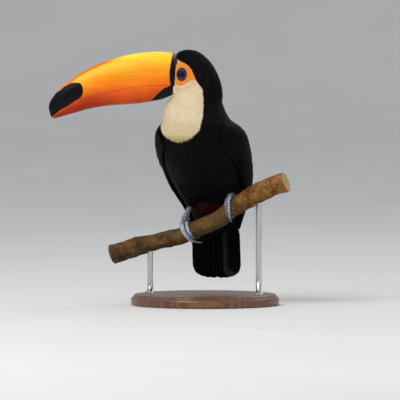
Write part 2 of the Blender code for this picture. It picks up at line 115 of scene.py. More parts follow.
def put_mesh(name, points, faces, finish, values=None, colours=None, maps=None):
    """Makes an object that rides on the CAD body.

    points are in millimetres and faces is a list of arrays of point numbers. values and colours
    hold one number or colour a point, and maps one place on a picture a point.
    """
    mesh = bpy.data.meshes.new(name)
    corners = np.concatenate([f.ravel() for f in faces]).astype(np.int32)
    sizes = np.concatenate([np.full(len(f), f.shape[1]) for f in faces])
    mesh.vertices.add(len(points))
    mesh.vertices.foreach_set("co", (points * MM).astype(np.float32).ravel())
    mesh.loops.add(len(corners))
    mesh.loops.foreach_set("vertex_index", corners)
    mesh.polygons.add(len(sizes))
    mesh.polygons.foreach_set("loop_start", np.concatenate([[0], np.cumsum(sizes)[:-1]]).astype(np.int32))
    mesh.update(calc_edges=True)
    mesh.polygons.foreach_set("use_smooth", np.full(len(sizes), True))
    for key, numbers in (values or {}).items():
        mesh.attributes.new(key, "FLOAT", "POINT").data.foreach_set("value", numbers.astype(np.float32))
    for key, tints in (colours or {}).items():
        rgba = np.concatenate([tints, np.ones((len(tints), 1))], 1).astype(np.float32)
        mesh.color_attributes.new(key, "FLOAT_COLOR", "POINT").data.foreach_set("color", rgba.ravel())
    for key, places in (maps or {}).items():
        mesh.uv_layers.new(name=key).data.foreach_set("uv", places[corners].astype(np.float32).ravel())
    mesh.materials.append(finish)
    made = bpy.data.objects.new(name, mesh)
    bpy.context.scene.collection.objects.link(made)
    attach(made, "root")
    return made


def closed_faces(rows, columns, first=0):
    """Faces of a wrapped grid, and a fan of triangles from a last point to each of its two ends."""
    c = np.arange(columns)
    right = (c + 1) % columns
    top, bottom = np.full(columns, rows * columns), np.full(columns, rows * columns + 1)
    last = (rows - 1) * columns
    fans = np.concatenate([np.stack([c, right, top], -1), np.stack([last + right, last + c, bottom], -1)])
    return [grid_faces(rows, columns, wrap=True) + first, fans + first]


def closed_points(grid):
    """The points of a wrapped grid, then the middle of its first row and of its last."""
    return np.concatenate([grid.reshape(-1, 3), grid[0].mean(0)[None], grid[-1].mean(0)[None]])


def with_ends(numbers):
    """One number a point of a wrapped grid, and the mean of each end row for the end points."""
    return np.concatenate([numbers.ravel(), [numbers[0].mean(), numbers[-1].mean()]])


def put_closed(name, grid, finish, values=None, colours=None):
    """A closed wrapped grid as an object. values hold one number for each point of the grid."""
    numbers = {key: with_ends(value) for key, value in (values or {}).items()}
    return put_mesh(name, closed_points(grid), closed_faces(*grid.shape[:2]), finish, numbers, colours)


def joined(parts):
    """Several closed grids as one: all their points, and their faces with the numbers moved on."""
    points, faces, count = [], [], 0
    for grid in parts:
        points.append(closed_points(grid))
        faces += closed_faces(grid.shape[0], grid.shape[1], count)
        count += len(points[-1])
    return np.concatenate(points), faces


def sweep(path, radii, across, sides):
    """Rings round a path: path + r·(cos a·side + sin a·over).

    side is the given direction made square to the path, and over is side × the path's direction,
    so that the rings' faces look outwards. radii is one number a ring, or one a point.
    """
    ahead = unit(np.gradient(path, axis=0))
    side = unit(across - ahead * np.sum(across * ahead, -1, keepdims=True))
    over = np.cross(side, ahead)
    a = turns(sides)[None, :, None]
    radii = np.broadcast_to(radii.reshape(len(path), -1), (len(path), sides))[..., None]
    return path[:, None] + radii * (np.cos(a) * side[:, None] + np.sin(a) * over[:, None])


def waves(points, size, seed):
    """Smooth random lumps about size across: a sum of sines that run in random directions, over
    the root of their count."""
    count = 28
    draw = np.random.default_rng(seed)
    runs = unit(draw.normal(size=(count, 3))) * draw.uniform(0.6, 1.5, (count, 1)) * 2 * math.pi / size
    starts = draw.uniform(0, 2 * math.pi, count)
    return np.sin(points @ runs.T + starts).sum(-1) / math.sqrt(count)

# %% [markdown]
# ## Finishes
# A finish is a small tree of nodes that ends in the Principled shader. Patterns read the object's
# own coordinates, in metres, or a number that was stored at each point of the mesh. Gloss comes
# from the shader and the lights.

# %% Node helpers
def paint(red, green, blue):
    """A colour as seen on a screen, 0 to 255 each, as the linear colour that the shader wants."""
    c = np.array([red, green, blue]) / 255
    return tuple(np.where(c <= 0.04045, c / 12.92, ((c + 0.055) / 1.055) ** 2.4).tolist())


def node(tree, kind, inputs=None, **settings):
    """Adds a node. inputs maps a socket's name or number to a number, a colour or another socket."""
    made = tree.nodes.new("ShaderNode" + kind)
    for key, value in settings.items():
        setattr(made, key, value)
    for key, value in (inputs or {}).items():
        if isinstance(value, bpy.types.NodeSocket):
            tree.links.new(value, made.inputs[key])
        elif isinstance(value, tuple) and len(value) == 3 and made.inputs[key].type == "RGBA":
            made.inputs[key].default_value = (*value, 1)
        else:
            made.inputs[key].default_value = value
    return made


def new_finish(name, roughness, **shader):
    """A material with its Principled shader, whose fixed sockets are set by name."""
    made = bpy.data.materials.new(name)
    made.use_nodes = True
    tree = made.node_tree
    bsdf = tree.nodes["Principled BSDF"]
    bsdf.inputs["Roughness"].default_value = roughness
    for key, value in shader.items():
        socket = bsdf.inputs[key.replace("_", " ").title().replace("Ior", "IOR")]
        socket.default_value = (*value, 1) if isinstance(value, tuple) else value
    return made, tree, bsdf


def stored(tree, name, colour=False):
    """The number or colour kept at each point of the mesh under this name."""
    return node(tree, "Attribute", attribute_name=name).outputs["Color" if colour else "Fac"]


def place(tree, stretch=(1, 1, 1)):
    """The object's own coordinates, stretched along each axis."""
    here = node(tree, "TexCoord").outputs["Object"]
    return node(tree, "Mapping", {"Vector": here, "Scale": stretch}).outputs[0]


def noise(tree, vector, scale, detail, roughness=0.55, distortion=0.0):
    """Cloudy noise, near 0.5."""
    inputs = {"Vector": vector, "Scale": scale, "Detail": detail, "Roughness": roughness,
              "Distortion": distortion}
    return node(tree, "TexNoise", inputs).outputs[0]


def calc(tree, sort, a, b=0.0):
    """One sum of arithmetic."""
    return node(tree, "Math", {0: a, 1: b, 2: 0.0}, operation=sort).outputs[0]


def times(tree, a, b):
    """a · b."""
    return calc(tree, "MULTIPLY", a, b)


def plus(tree, a, b):
    """a + b."""
    return calc(tree, "ADD", a, b)


def spread(tree, value, low, high, to_low=0.0, to_high=1.0, smooth=True):
    """Turns low..high into to_low..to_high, and holds the ends."""
    inputs = {"Value": value, "From Min": low, "From Max": high, "To Min": to_low, "To Max": to_high}
    kind = "SMOOTHSTEP" if smooth else "LINEAR"
    return node(tree, "MapRange", inputs, interpolation_type=kind, clamp=True).outputs[0]


def blend(tree, share, a, b, sort="MIX"):
    """Mixes colour b into colour a."""
    made = node(tree, "Mix", {0: share, 6: a, 7: b}, data_type="RGBA", blend_type=sort)
    return made.outputs[2]


def dimmed(tree, colour, share):
    """The colour times a number."""
    grey = node(tree, "CombineXYZ", {0: share, 1: share, 2: share}).outputs[0]
    return blend(tree, 1.0, colour, grey, "MULTIPLY")


def gradient(tree, value, stops):
    """A colour ramp through the stops, each a place from 0 to 1 and a colour."""
    ramp = node(tree, "ValToRGB", {0: value})
    points = ramp.color_ramp.elements
    while len(points) < len(stops):
        points.new(0.5)
    for point, (at, colour) in zip(points, stops):
        point.position = at
        point.color = (*colour, 1)
    return ramp.outputs[0]


def relief(tree, height, depth):
    """A bump map whose height of 1 stands depth millimetres proud."""
    return node(tree, "Bump", {"Height": height, "Distance": depth * MM, "Strength": 1.0}).outputs[0]


def link(tree, bsdf, **sockets):
    """Links outputs to the shader's sockets by name."""
    for key, value in sockets.items():
        tree.links.new(value, bsdf.inputs[key.replace("_", " ").title() if key != "Normal" else key])


# %% [markdown]
# ## The body as a level surface
# A bird's body is round in every slice. Each slice here is a half ellipse in front and another
# behind, which share their width, and it has its own facing: the head looks along the perch and
# the breast looks out over it, so the neck is twisted.
#
# A point's *field* is l² + (f·w/r)² - w², with f and l its distance forward and left of the
# slice's centre, r the slice's reach that way and w its half width. It is zero on the body,
# less inside and more outside. Divided by its own slope, it is close to a distance, so any point
# can be moved out or in until it lies at a wanted height over the body. The thighs are tapered
# rods, and a smooth minimum flows them into the body without a seam.

# %% The body's measures
BODY_YAW = 18.0  # degrees that the breast is turned from the front
HEAD_MIDDLE = np.array([-12.0, -40.0, 328.0])
BODY_SLICES = np.array([  # height, x, y, facing in degrees, half width, reach forward, reach back
    (362.6, -22, -40, 90, 0, 0, 0),
    (359.5, -22, -40, 90, 13, 14, 12),
    (352, -17.5, -40, 90, 22, 36, 18),
    (343, -13.5, -40, 90, 26.5, 52, 22.5),
    (328, -12, -40, 90, 28, 58, 29.5),
    (312, -12, -40, 90, 29.5, 48, 35),
    (299, -13, -40, 86, 31, 35, 38),
    (285, -14, -40, 72, 34, 42, 40),
    (267, -11, -36.5, 46, 46, 50, 44),
    (250, -7.9, -29.9, 27, 57, 52, 50),
    (231, -4.8, -20.4, 18, 61, 53, 52),
    (206, -0.5, -7.1, 18, 62, 54, 50),
    (184, 4.5, 8.1, 18, 58, 49, 46),
    (160, 8.8, 21.4, 18, 49, 37, 38),
    (140, 12.2, 31.9, 18, 38, 22, 28),
    (122, 14.2, 38, 18, 31, 12, 19),
    (110, 15.2, 41.6, 18, 25, 7, 12.5),
    (101, 15.7, 43.8, 18, 16.5, 4, 8.5),
    (94, 16, 45, 18, 8, 2.5, 5.5),
])
THIGHS = {  # ankle and hip
    "left": ((34.5, -10.5, 166), (26, -23, 197)),
    "right": ((-20.5, 6, 141), (-17, -4, 178)),
}
THIGH_RADII = (6.5, 10, 14.5, 18.5, 19, 14, 6)  # from the ankle up
THIGH_BLEND = 9.0  # how far the thighs flow into the body


def facing(yaw):
    """Forward and left for a yaw in degrees, as two level unit vectors."""
    a = np.radians(np.asarray(yaw, float))
    zero = np.zeros_like(a)
    return np.stack([-np.sin(a), -np.cos(a), zero], -1), np.stack([np.cos(a), -np.sin(a), zero], -1)


def dense_body():
    """The slices read at many places: height, x, y, yaw, squared half width, and both reaches
    over the half width. Above the crown and under the vent the squared width goes below zero."""
    z, x, y, yaw, side, fore, aft = BODY_SLICES.T
    share = np.maximum(side, 1e-9)
    fore, aft = fore / share, aft / share
    fore[0], aft[0] = fore[1], aft[1]
    rows = smooth_rows(np.stack([z, x, y, yaw, side**2, fore, aft], -1), np.linspace(0, len(z) - 1, 900))
    above, below = rows[0].copy(), rows[-1].copy()
    above[0], above[4] = z[0] + 20, -20 * side[1] ** 2 / (z[0] - z[1])
    below[0], below[4] = z[-1] - 20, -20 * side[-1] ** 2 / 3
    return np.concatenate([above[None], rows, below[None]])[::-1]


BODY = dense_body()


def slice_at(z):
    """x, y, yaw, squared half width, and both reaches over the half width, at these heights."""
    return [np.interp(z, BODY[:, 0], BODY[:, k]) for k in range(1, 7)]


def body_field(p):
    """l² + (f·w/r)² - w² in the slice that each point lies in."""
    x, y, yaw, wide, fore, aft = slice_at(p[..., 2])
    forward, left = facing(yaw)
    dx, dy = p[..., 0] - x, p[..., 1] - y
    f = dx * forward[..., 0] + dy * forward[..., 1]
    l = dx * left[..., 0] + dy * left[..., 1]
    return l**2 + (f / np.where(f > 0, fore, aft)) ** 2 - wide


def thigh_distance(p, ankle, hip):
    """Distance to a tapered rod, and the direction away from its axis."""
    ankle, hip = np.array(ankle, float), np.array(hip, float)
    along = hip - ankle
    t = np.clip((p - ankle) @ along / (along @ along), 0, 1)
    away = p - ankle - t[..., None] * along
    radius = np.interp(t, np.linspace(0, 1, len(THIGH_RADII)), THIGH_RADII)
    return np.linalg.norm(away, axis=-1) - radius, unit(away)


def merge(d1, n1, d2, n2, width):
    """Smooth minimum: with h = ½ + ½(d2 - d1)/width held to 0..1, h·d1 + (1-h)·d2 - width·h(1-h)."""
    h = np.clip(0.5 + 0.5 * (d2 - d1) / width, 0, 1)
    return h * d1 + (1 - h) * d2 - width * h * (1 - h), unit(h[..., None] * n1 + (1 - h[..., None]) * n2)


def envelope(p):
    """Distance outside the coat's outer surface, less than 0 inside, and the way out."""
    step = 0.4
    here = body_field(p)
    slope = np.stack([(body_field(p + step * axis) - here) / step for axis in np.eye(3)], -1)
    steep = np.maximum(np.linalg.norm(slope, axis=-1), 1e-6)
    distance, out = here / steep, slope / steep[..., None]
    for ankle, hip in THIGHS.values():
        distance, out = merge(distance, out, *thigh_distance(p, ankle, hip), THIGH_BLEND)
    return distance, out


LONGEST_STEP = 12.0  # a point moves no further than this at once


def settle(p, height, steps=2):
    """Moves each point along the way out until it lies at this height over the outer surface."""
    for _ in range(steps):
        distance, out = envelope(p)
        p = p + np.clip(height - distance, -LONGEST_STEP, LONGEST_STEP)[..., None] * out
    return p


def bill_plane(z):
    """The x of the flat face where the bill meets the head. It leans forward as it goes down."""
    return -40.3 - 0.0948 * (356.8 - z)


print("body table:", BODY.shape, "crown field:", round(float(body_field(np.array([-22.0, -40, 362.6]))), 3))

# %% [markdown]
# ## Markings
# A toco toucan is black, with a cream bib from its chin to its breast, bare orange skin round an
# eye ringed in blue, a white rump and dark red feathers under the tail. Each marking is written
# once as a *gap*: the distance in millimetres inside its edge, less than zero outside. The skin
# and every feather over it ask for the same gaps, so the two always agree.

# %% Markings
EYE_FORWARD, EYE_ASIDE = 21.2, 21.9  # from the head's middle to each eye's centre
ahead, left = facing(90.0)
EYES = {
    side: HEAD_MIDDLE + EYE_FORWARD * ahead + sign * EYE_ASIDE * left
    for side, sign in (("left", 1), ("right", -1))
}
EYE_RADIUS = 6.2
BARE_SKIN = np.array([  # x and z of the edge of the bare skin
    (-39.2, 349.6), (-36.4, 347.0), (-30.7, 344.7), (-23.4, 340.3), (-18.6, 333.8), (-15.7, 327),
    (-12.7, 320.2), (-19.9, 319.3), (-25.7, 315.8), (-30.7, 312.7), (-35.8, 311.4), (-41.0, 313.4),
    (-42.0, 317), (-42.0, 325), (-41.7, 333), (-40.4, 342),
])
BIB = np.array([  # height, facing of its middle, and half width in degrees
    (230, 37, -8), (232.5, 37, 1), (234.3, 37.3, 12), (238.5, 37.5, 23), (242.7, 39.5, 30.5),
    (249.7, 40.5, 40.5), (257.2, 45, 48.5), (264, 50, 57), (271, 58, 69.5), (278, 68, 84),
    (285, 78, 99), (292, 83, 104.5), (299, 87, 105), (306, 89, 106), (313, 90, 98.5), (320, 90, 86),
    (330, 90, 70),
])
BIB_TOP, BIB_BOTTOM = 320.5, 232.0


def inside(points, outline):
    """Distance inside a closed outline, less than 0 outside.

    The distance is to the nearest edge. A point is inside when its level ray crosses an odd
    number of edges.
    """
    a, b = outline, np.roll(outline, -1, axis=0)
    edge = b - a
    p = points[:, None, :] - a
    t = np.clip((p * edge).sum(-1) / (edge**2).sum(-1), 0, 1)
    gap = np.linalg.norm(p - t[..., None] * edge, axis=-1).min(1)
    y = points[:, None, 1]
    crosses = (a[:, 1] > y) != (b[:, 1] > y)
    x = a[:, 0] + (y - a[:, 1]) * edge[:, 0] / np.where(edge[:, 1] == 0, 1e-9, edge[:, 1])
    return gap * np.where((crosses & (points[:, None, 0] < x)).sum(1) % 2 == 1, 1, -1)


def round_body(p):
    """World yaw of each point as seen from its slice's centre, in degrees, and its distance."""
    x, y = slice_at(p[..., 2])[:2]
    dx, dy = p[..., 0] - x, p[..., 1] - y
    return np.degrees(np.arctan2(-dx, -dy)), np.hypot(dx, dy)


def turn_from_breast(p):
    """How far round the body each point lies from the breast, -180 to 180 degrees."""
    return (round_body(p)[0] - BODY_YAW + 180) % 360 - 180


def bare_gap(p):
    """How far inside the bare skin of either cheek a point lies."""
    gap = np.full(len(p), -30.0)
    near = p[:, 2] > 290
    gap[near] = inside(p[near][:, [0, 2]], BARE_SKIN)
    cheek = np.abs(p[:, 1] - HEAD_MIDDLE[1]) - 9
    return np.minimum(gap, cheek)


def bib_gap(p):
    """How far inside the bib: its half width less the turn from its middle, times the radius.

    It also ends at its top and bottom heights, and at a line close behind the bill, which leans
    forward under the face.
    """
    yaw, radius = round_body(p)
    middle, half = (np.interp(p[:, 2], BIB[:, 0], BIB[:, k]) for k in (1, 2))
    turn = np.abs((yaw - middle + 180) % 360 - 180)
    behind_bill = p[:, 0] + 42.4 + 3 * np.maximum(312 - p[:, 2], 0)
    across = np.minimum(np.radians(half - turn) * radius, behind_bill)
    return np.minimum(np.minimum(across, BIB_TOP - p[:, 2]), p[:, 2] - BIB_BOTTOM)


def rump_gap(p):
    """The white patch on the back, 40 degrees to each side of it and 23 mm up and down."""
    yaw, radius = round_body(p)
    turn = np.abs((yaw - BODY_YAW) % 360 - 180)
    return np.minimum(np.radians(40 - turn) * radius, 23 - np.abs(p[:, 2] - 133))


def vent_gap(p):
    """The red feathers between the legs and under the root of the tail, with wavy sides."""
    turn, radius = np.abs(turn_from_breast(p)), round_body(p)[1]
    from_right = p[:, 0] + 8 + 2.5 * waves(p, 6.0, 8)
    from_left = 20 - p[:, 0] + 2.5 * waves(p, 6.0, 9)
    between_legs = np.minimum(from_right, from_left)
    return np.min([np.radians(60 - turn) * radius, 144 - p[:, 2], p[:, 2] - 129, between_legs], axis=0)


BLACK = np.array(paint(11, 10.5, 11.5))
CREAM = np.array(paint(234, 216, 182))
CREAM_WARM = np.array(paint(232, 196, 168))
CREAM_YELLOW = np.array(paint(228, 208, 150))
WHITE = np.array(paint(232, 228, 218))
RED = np.array(paint(62, 10, 10))


def coat_colour(p, ragged=0.0):
    """The plumage colour at each point. ragged moves the edges in and out by that many mm.

    The black is deepest on the body and brownest on the crown. The cream is pinker at the chin, yellower on
    the breast and darkened by painted shade along its lower edge.
    """
    lump = waves(p, 9.0, 3) * 0.4
    colour = BLACK * (1 + 0.25 * waves(p, 14.0, 5)[:, None])
    crown = ease(300, 348, p[:, 2])[:, None]
    colour = colour * (0.62 + 0.38 * ease(240, 300, p[:, 2])[:, None] + crown * np.array([0.7, 0.3, 0.6]))
    bib = bib_gap(p) + 0.5 * ragged + 0.5 * lump
    low = ease(275, 235, p[:, 2])[:, None]
    warm = ease(300, 318, p[:, 2])[:, None] * 0.7
    cream = CREAM * (1 - 0.5 * low) + CREAM_YELLOW * 0.5 * low
    cream = cream * (1 - warm) + CREAM_WARM * warm
    # painted shade: the cream darkens over its lowest 12 mm, the blue most
    cream = cream * (1 - 0.34 * ease(246, 234, p[:, 2])[:, None] * np.array([1, 1.1, 1.5]))
    rump, vent = rump_gap(p) + ragged + lump, vent_gap(p) + ragged + lump
    for gap, shade, soft in ((rump, WHITE, 0.4), (vent, RED, 2.6), (bib, cream, 0.4)):
        share = ease(-soft, soft, gap)[:, None]
        colour = colour * (1 - share) + shade * share
    return np.clip(colour, 0.002, 1)


print("bib gap on the breast:", bib_gap(np.array([[-45.0, -75, 260]])).round(1))

# %% [markdown]
# ## One skin
# Under the feathers is one skin for head, neck, trunk and thighs. It could be sculpted, or joined
# from balls with the remesh modifier. Here it is the slices' own surface, sent inwards by the
# depth of the coat over it, because that depth is what the feathers need to lie in. It dips
# under each eye, and is cut flat where the bill begins.

# %% Skin
COAT_DEPTH = np.array([  # height and how deep the coat is there
    (94, 3.0), (150, 3.0), (230, 2.8), (275, 2.3), (300, 1.7), (325, 1.1), (363, 1.0),
])
BARE_DEPTH = 0.35  # the bare skin lies almost as high as the feathers' tips
SKIN_ROWS, SKIN_SIDES = 260, 288


def coat_depth(p):
    """How deep the coat is, from the height, and almost nothing over the bare skin."""
    deep = np.interp(p[:, 2], COAT_DEPTH[:, 0], COAT_DEPTH[:, 1])
    return deep + (BARE_DEPTH - deep) * ease(-0.8, 1.2, bare_gap(p))


def body_surface(at, a):
    """The coat's outer surface at a share of the way down and an angle round from the front.

    The share runs from 0 at the crown to 1 at the vent. The drop from the crown is
    0.45·share + 0.55·share^1.5 of the whole height, so that the rows are closest over the crown.
    """
    top, bottom = BODY[-2, 0], BODY[1, 0]
    z = top - (top - bottom) * (at**1.5 * 0.55 + at * 0.45)
    x, y, yaw, wide, fore, aft = slice_at(z)
    forward, left = facing(yaw)
    side = np.sqrt(np.maximum(wide, 1e-4))
    reach = side * np.where(np.cos(a) > 0, fore, aft)
    ahead, aside = (np.cos(a) * reach)[..., None] * forward, (np.sin(a) * side)[..., None] * left
    return np.stack([x, y, z], -1) + ahead + aside


def eye_dip(p):
    """How far the skin sinks under each eye, by the distance from the eye's axis."""
    dip = np.zeros(len(p))
    for eye in EYES.values():
        away = np.linalg.norm((p - eye)[:, [0, 2]], axis=-1)
        dip += 5.5 * ease(6.3, 3.8, away) * (np.abs(p[:, 1] - eye[1]) < 15)
    return dip


at, a = np.meshgrid(np.linspace(0.00002, 0.999, SKIN_ROWS), turns(SKIN_SIDES), indexing="ij")
flat = body_surface(at.ravel(), a.ravel())
skin_points = settle(flat, -coat_depth(flat) - eye_dip(flat), steps=3)
skin_points[:, 2] -= 1.6 * ease(0.025, 0.006, at.ravel())  # under the crown's feathers
skin_x, skin_z = skin_points[:, 0], skin_points[:, 2]
skin_points[:, 0] = np.where(skin_z > 296, np.maximum(skin_x, bill_plane(skin_z) - 1.5), skin_x)
skin_grid = skin_points.reshape(SKIN_ROWS, SKIN_SIDES, 3)
cell_steps = [np.diff(skin_grid, axis=0)[:, :-1], np.diff(skin_grid, axis=1)[:-1]]
cell_area = np.linalg.norm(np.cross(*cell_steps), axis=-1)
print("skin area:", round(float(cell_area.sum()) / 100), "square centimetres")

# %% Skin finish
def feather_dark(tree, colour, depth=0.2):
    """The stored coat colour, a little lighter and darker in soft clouds."""
    cloud = noise(tree, place(tree), 420, 3)
    shades = gradient(tree, cloud, [(0.3, (1 - depth,) * 3), (0.7, (1 + depth,) * 3)])
    return blend(tree, 1.0, colour, shades, "MULTIPLY")


skin_finish, tree, bsdf = new_finish("bird_skin", 0.62, specular_ior_level=0.3)
coat = feather_dark(tree, stored(tree, "coat", True))
bare = stored(tree, "bare")
wrinkle = noise(tree, place(tree, (1, 1, 2.2)), 900, 5, 0.6, 0.6)
pore = node(tree, "TexVoronoi", {"Vector": place(tree), "Scale": 1500}).outputs["Distance"]
orange = gradient(tree, spread(tree, wrinkle, 0.32, 0.68), [
    (0.0, paint(222, 104, 10)), (0.5, paint(238, 132, 20)), (1.0, paint(246, 158, 40))])
yellow = spread(tree, stored(tree, "bare"), 3.0, 0.6)
orange = blend(tree, times(tree, yellow, 0.6), orange, paint(226, 158, 34))
pale = spread(tree, stored(tree, "pale"), -0.8, 0.6)
orange = blend(tree, pale, orange, paint(206, 186, 182))
edge = spread(tree, plus(tree, bare, times(tree, wrinkle, 0.8)), 0.1, 0.9)
link(tree, bsdf, Base_Color=blend(tree, edge, coat, orange))
folds = plus(tree, wrinkle, times(tree, pore, -0.5))
link(tree, bsdf, Roughness=spread(tree, wrinkle, 0.3, 0.7, 0.42, 0.62))
link(tree, bsdf, Normal=relief(tree, folds, 0.35))
PALE_SPOT = np.array([  # x and z of the edge of the pale spot over the bill's base
    (-39.8, 350.6), (-36.0, 347.6), (-36.2, 344.2), (-39.0, 343.2), (-41.2, 343.6),
])
pale_gap = inside(skin_points[:, [0, 2]], PALE_SPOT)
skin = put_closed(
    "skin", skin_grid, skin_finish,
    values={"bare": bare_gap(skin_points).reshape(SKIN_ROWS, -1), "pale": pale_gap.reshape(SKIN_ROWS, -1)},
    colours={"coat": coat_colour(closed_points(skin_grid))},
)
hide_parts("head", "neck", "trunk", "thigh_left", "thigh_right")
print("skin points:", len(skin.data.vertices))

# %% [markdown]
# ## How the coat lies
# Feathers grow backwards from the bill, down the neck and down the body to the tail. Each one is
# rooted in the skin, lies along it and ends on the next ones' backs. The *lie* is the way they
# point: a plain direction for the head and another for the body, mixed by height, with the part
# that would stick out of the skin taken away.

# %% The lie of the coat
def lie_of(p, out):
    """The way the feathers point: back on the head and down on the body, made flat to the skin."""
    head = ease(292, 330, p[:, 2])[:, None]
    low = ease(190, 130, p[:, 2])[:, None]
    way = head * np.array([1.0, 0, -0.4]) + (1 - head) * np.array([0.03, 0.12, -1.0])
    away = np.sign(p[:, 1] - HEAD_MIDDLE[1])[:, None] * head * np.array([0, 0.15, 0])
    way = way + low * np.array([0.1, 0.25, 0]) + away
    return unit(way - out * (way * out).sum(-1, keepdims=True))


def vane(columns, rows, waist, point, notch):
    """A feather's flat outline on a grid: across from -1 to 1 and along from 0 to 1.

    Its half width swells from the waist to the middle as a sine and closes a little at the tip.
    The far end is drawn back at its sides by point times across², and every other column by the
    notch, so the tip is rounded and its barbs stand apart.
    """
    u, v = np.linspace(-1, 1, columns), np.linspace(0, 1, rows) ** 0.85
    across, along = np.meshgrid(u, v)
    width = (waist + (1 - waist) * np.sin(np.pi / 2 * np.clip(along / 0.6, 0, 1))) * (1 - 0.25 * along**3)
    comb = notch * (np.arange(columns) % 2) * (along > 0.99)
    along_points = along * (1 - point * across**2 * along) - comb
    flat = [part.ravel() for part in (across * width, along_points, across, along)]
    return *flat, grid_faces(rows, columns)


PATCH = 0.003  # how big each feather is on the unwrap
SPLAY = 0.18  # how far feathers turn from the lie, in radians


def plumage(name, roots, root_places, length, width, depth, outline, finish, lift, seed, vary):
    """Feathers that lie along the body, in one mesh.

    A feather's point is root + lie·length·along + side·width·across, moved to its own height over
    the outer surface: it rises from the skin at its root to the outer surface at its tip as
    along^0.6, less a camber of across². side is out × lie.
    """
    draw = np.random.default_rng(seed)
    across, along, u, v, cells = outline
    count = len(roots)
    _, out = envelope(roots)
    turn = draw.normal(0, SPLAY, count)[:, None]
    ahead = lie_of(roots, out)
    side = np.cross(out, ahead)
    ahead, side = np.cos(turn) * ahead + np.sin(turn) * side, np.cos(turn) * side - np.sin(turn) * ahead
    length = length * draw.uniform(0.85, 1.15, count)
    width = width * draw.uniform(0.85, 1.15, count)
    bend = draw.normal(0, 0.12, count)[:, None] * width[:, None] * along**2
    p = (roots[:, None] + ahead[:, None] * (length[:, None] * along)[..., None]
         + side[:, None] * (width[:, None] / 2 * across + bend)[..., None])
    rise = -depth[:, None] * (1 - along**0.6) + (lift + draw.normal(0, 0.12, count) * depth)[:, None] * along
    rise = rise - 0.07 * width[:, None] * across**2
    p = settle(p.reshape(-1, 3), rise.ravel())
    p[:, 0] = np.where(p[:, 2] > 297, np.maximum(p[:, 0], bill_plane(p[:, 2]) + 0.1), p[:, 0])
    ragged = np.repeat(draw.normal(0, 0.5, count), len(along))
    colour = coat_colour(p, ragged).reshape(count, -1, 3)
    tips = colour * (1 - vary + 2 * vary * v[:, None]) * draw.uniform(1 - vary, 1 + vary, (count, 1, 1))
    tips = np.clip(tips, 0, 1)
    numbers = np.stack([u, v], -1)
    patches = root_places[:, None] + PATCH * (np.stack([across / 2, along - 0.5], -1))
    vane_map = np.broadcast_to(numbers / 2 + 0.5, (count, *numbers.shape))
    faces = (cells[None] + (np.arange(count) * len(along))[:, None, None]).reshape(-1, 4)
    made = put_mesh(name, p, [faces], finish, colours={"coat": tips.reshape(-1, 3)},
                    maps={"OFBake": patches.reshape(-1, 2), "vane": vane_map.reshape(-1, 2)})
    print(name, count, "feathers", 2 * len(faces), "triangles")
    return made


def sow(spacing, wanted, seed):
    """Roots spread evenly over the body, one for each spacing² of skin, where wanted says so.

    The cells of the skin are laid end to end by area, a root falls at equal steps along them,
    and each is moved about inside its cell. Returns the roots and their places on the unwrap.
    """
    draw = np.random.default_rng(seed)
    length = np.cumsum(cell_area.ravel())
    steps = np.arange(0.5 * spacing**2, length[-1], spacing**2)
    cell = np.searchsorted(length, steps + draw.uniform(-0.5, 0.5, len(steps)) * spacing**2)
    cell = np.clip(cell, 0, len(length) - 1)
    row, column = np.divmod(cell, cell_area.shape[1])
    s, t = draw.uniform(0, 1, (2, len(cell)))
    corner = [skin_grid[row + i, (column + j) % SKIN_SIDES] for i, j in ((0, 0), (1, 0), (0, 1), (1, 1))]
    p = ((1 - s) * (1 - t))[:, None] * corner[0] + (s * (1 - t))[:, None] * corner[1]
    p += ((1 - s) * t)[:, None] * corner[2] + (s * t)[:, None] * corner[3]
    keep = wanted(p)
    uv = np.stack([(column + t) / SKIN_SIDES, 1 - (row + s) / SKIN_ROWS], -1) * 0.99 + 0.005
    return p[keep], uv[keep]


# %% [markdown]
# ## Feather finish
# A feather is a shaft with barbs that slant away from it. Light catches the barbs as a fine comb,
# and black feathers carry a faint cool gloss. The finish reads a small map on each feather, across
# and along, and makes the shaft and the barbs as a bump. Only the colour is stored on the mesh.

# %% Feather finish
def feather_finish(name, roughness, barb_depth, barbs=26.0, cloud=0.2, **shader):
    """The stored colour with the barbs' comb and the shaft as a bump."""
    made, tree, bsdf = new_finish(name, roughness, **shader)
    parts = node(tree, "SeparateXYZ", {0: node(tree, "UVMap", uv_map="vane").outputs[0]})
    across = calc(tree, "ABSOLUTE", calc(tree, "SUBTRACT", parts.outputs[0], 0.5))
    slant = calc(tree, "SUBTRACT", parts.outputs[1], times(tree, across, 0.9))
    comb = calc(tree, "SINE", times(tree, slant, barbs * 2 * math.pi))
    shaft = spread(tree, across, 0.0, 0.045, 1.0, 0.0)
    height = plus(tree, times(tree, comb, 0.5), times(tree, shaft, 2.0))
    link(tree, bsdf, Normal=relief(tree, height, barb_depth))
    coat = feather_dark(tree, stored(tree, "coat", True), cloud)
    link(tree, bsdf, Base_Color=dimmed(tree, coat, spread(tree, comb, -1, 1, 0.9, 1.08)))
    rough = noise(tree, place(tree), 300, 2)
    link(tree, bsdf, Roughness=spread(tree, rough, 0.3, 0.7, roughness - 0.07, roughness + 0.08))
    return made


black_feathers = feather_finish("black_feathers", 0.52, 0.06, specular_ior_level=0.06)
pale_feathers = feather_finish(
    "pale_feathers", 0.78, 0.03, cloud=0.03, specular_ior_level=0.08, sheen_weight=0.02)

# %% [markdown]
# ## Body feathers
# The coat is sown region by region, each with feathers of its own size: a close velvet on the
# head, soft cream vanes on the bib, and larger ones over the breast, belly, thighs and back. None
# grow on the bare skin, or under the folded wings. Feathers smaller than a few millimetres have
# a dozen faces each, because there are thousands.

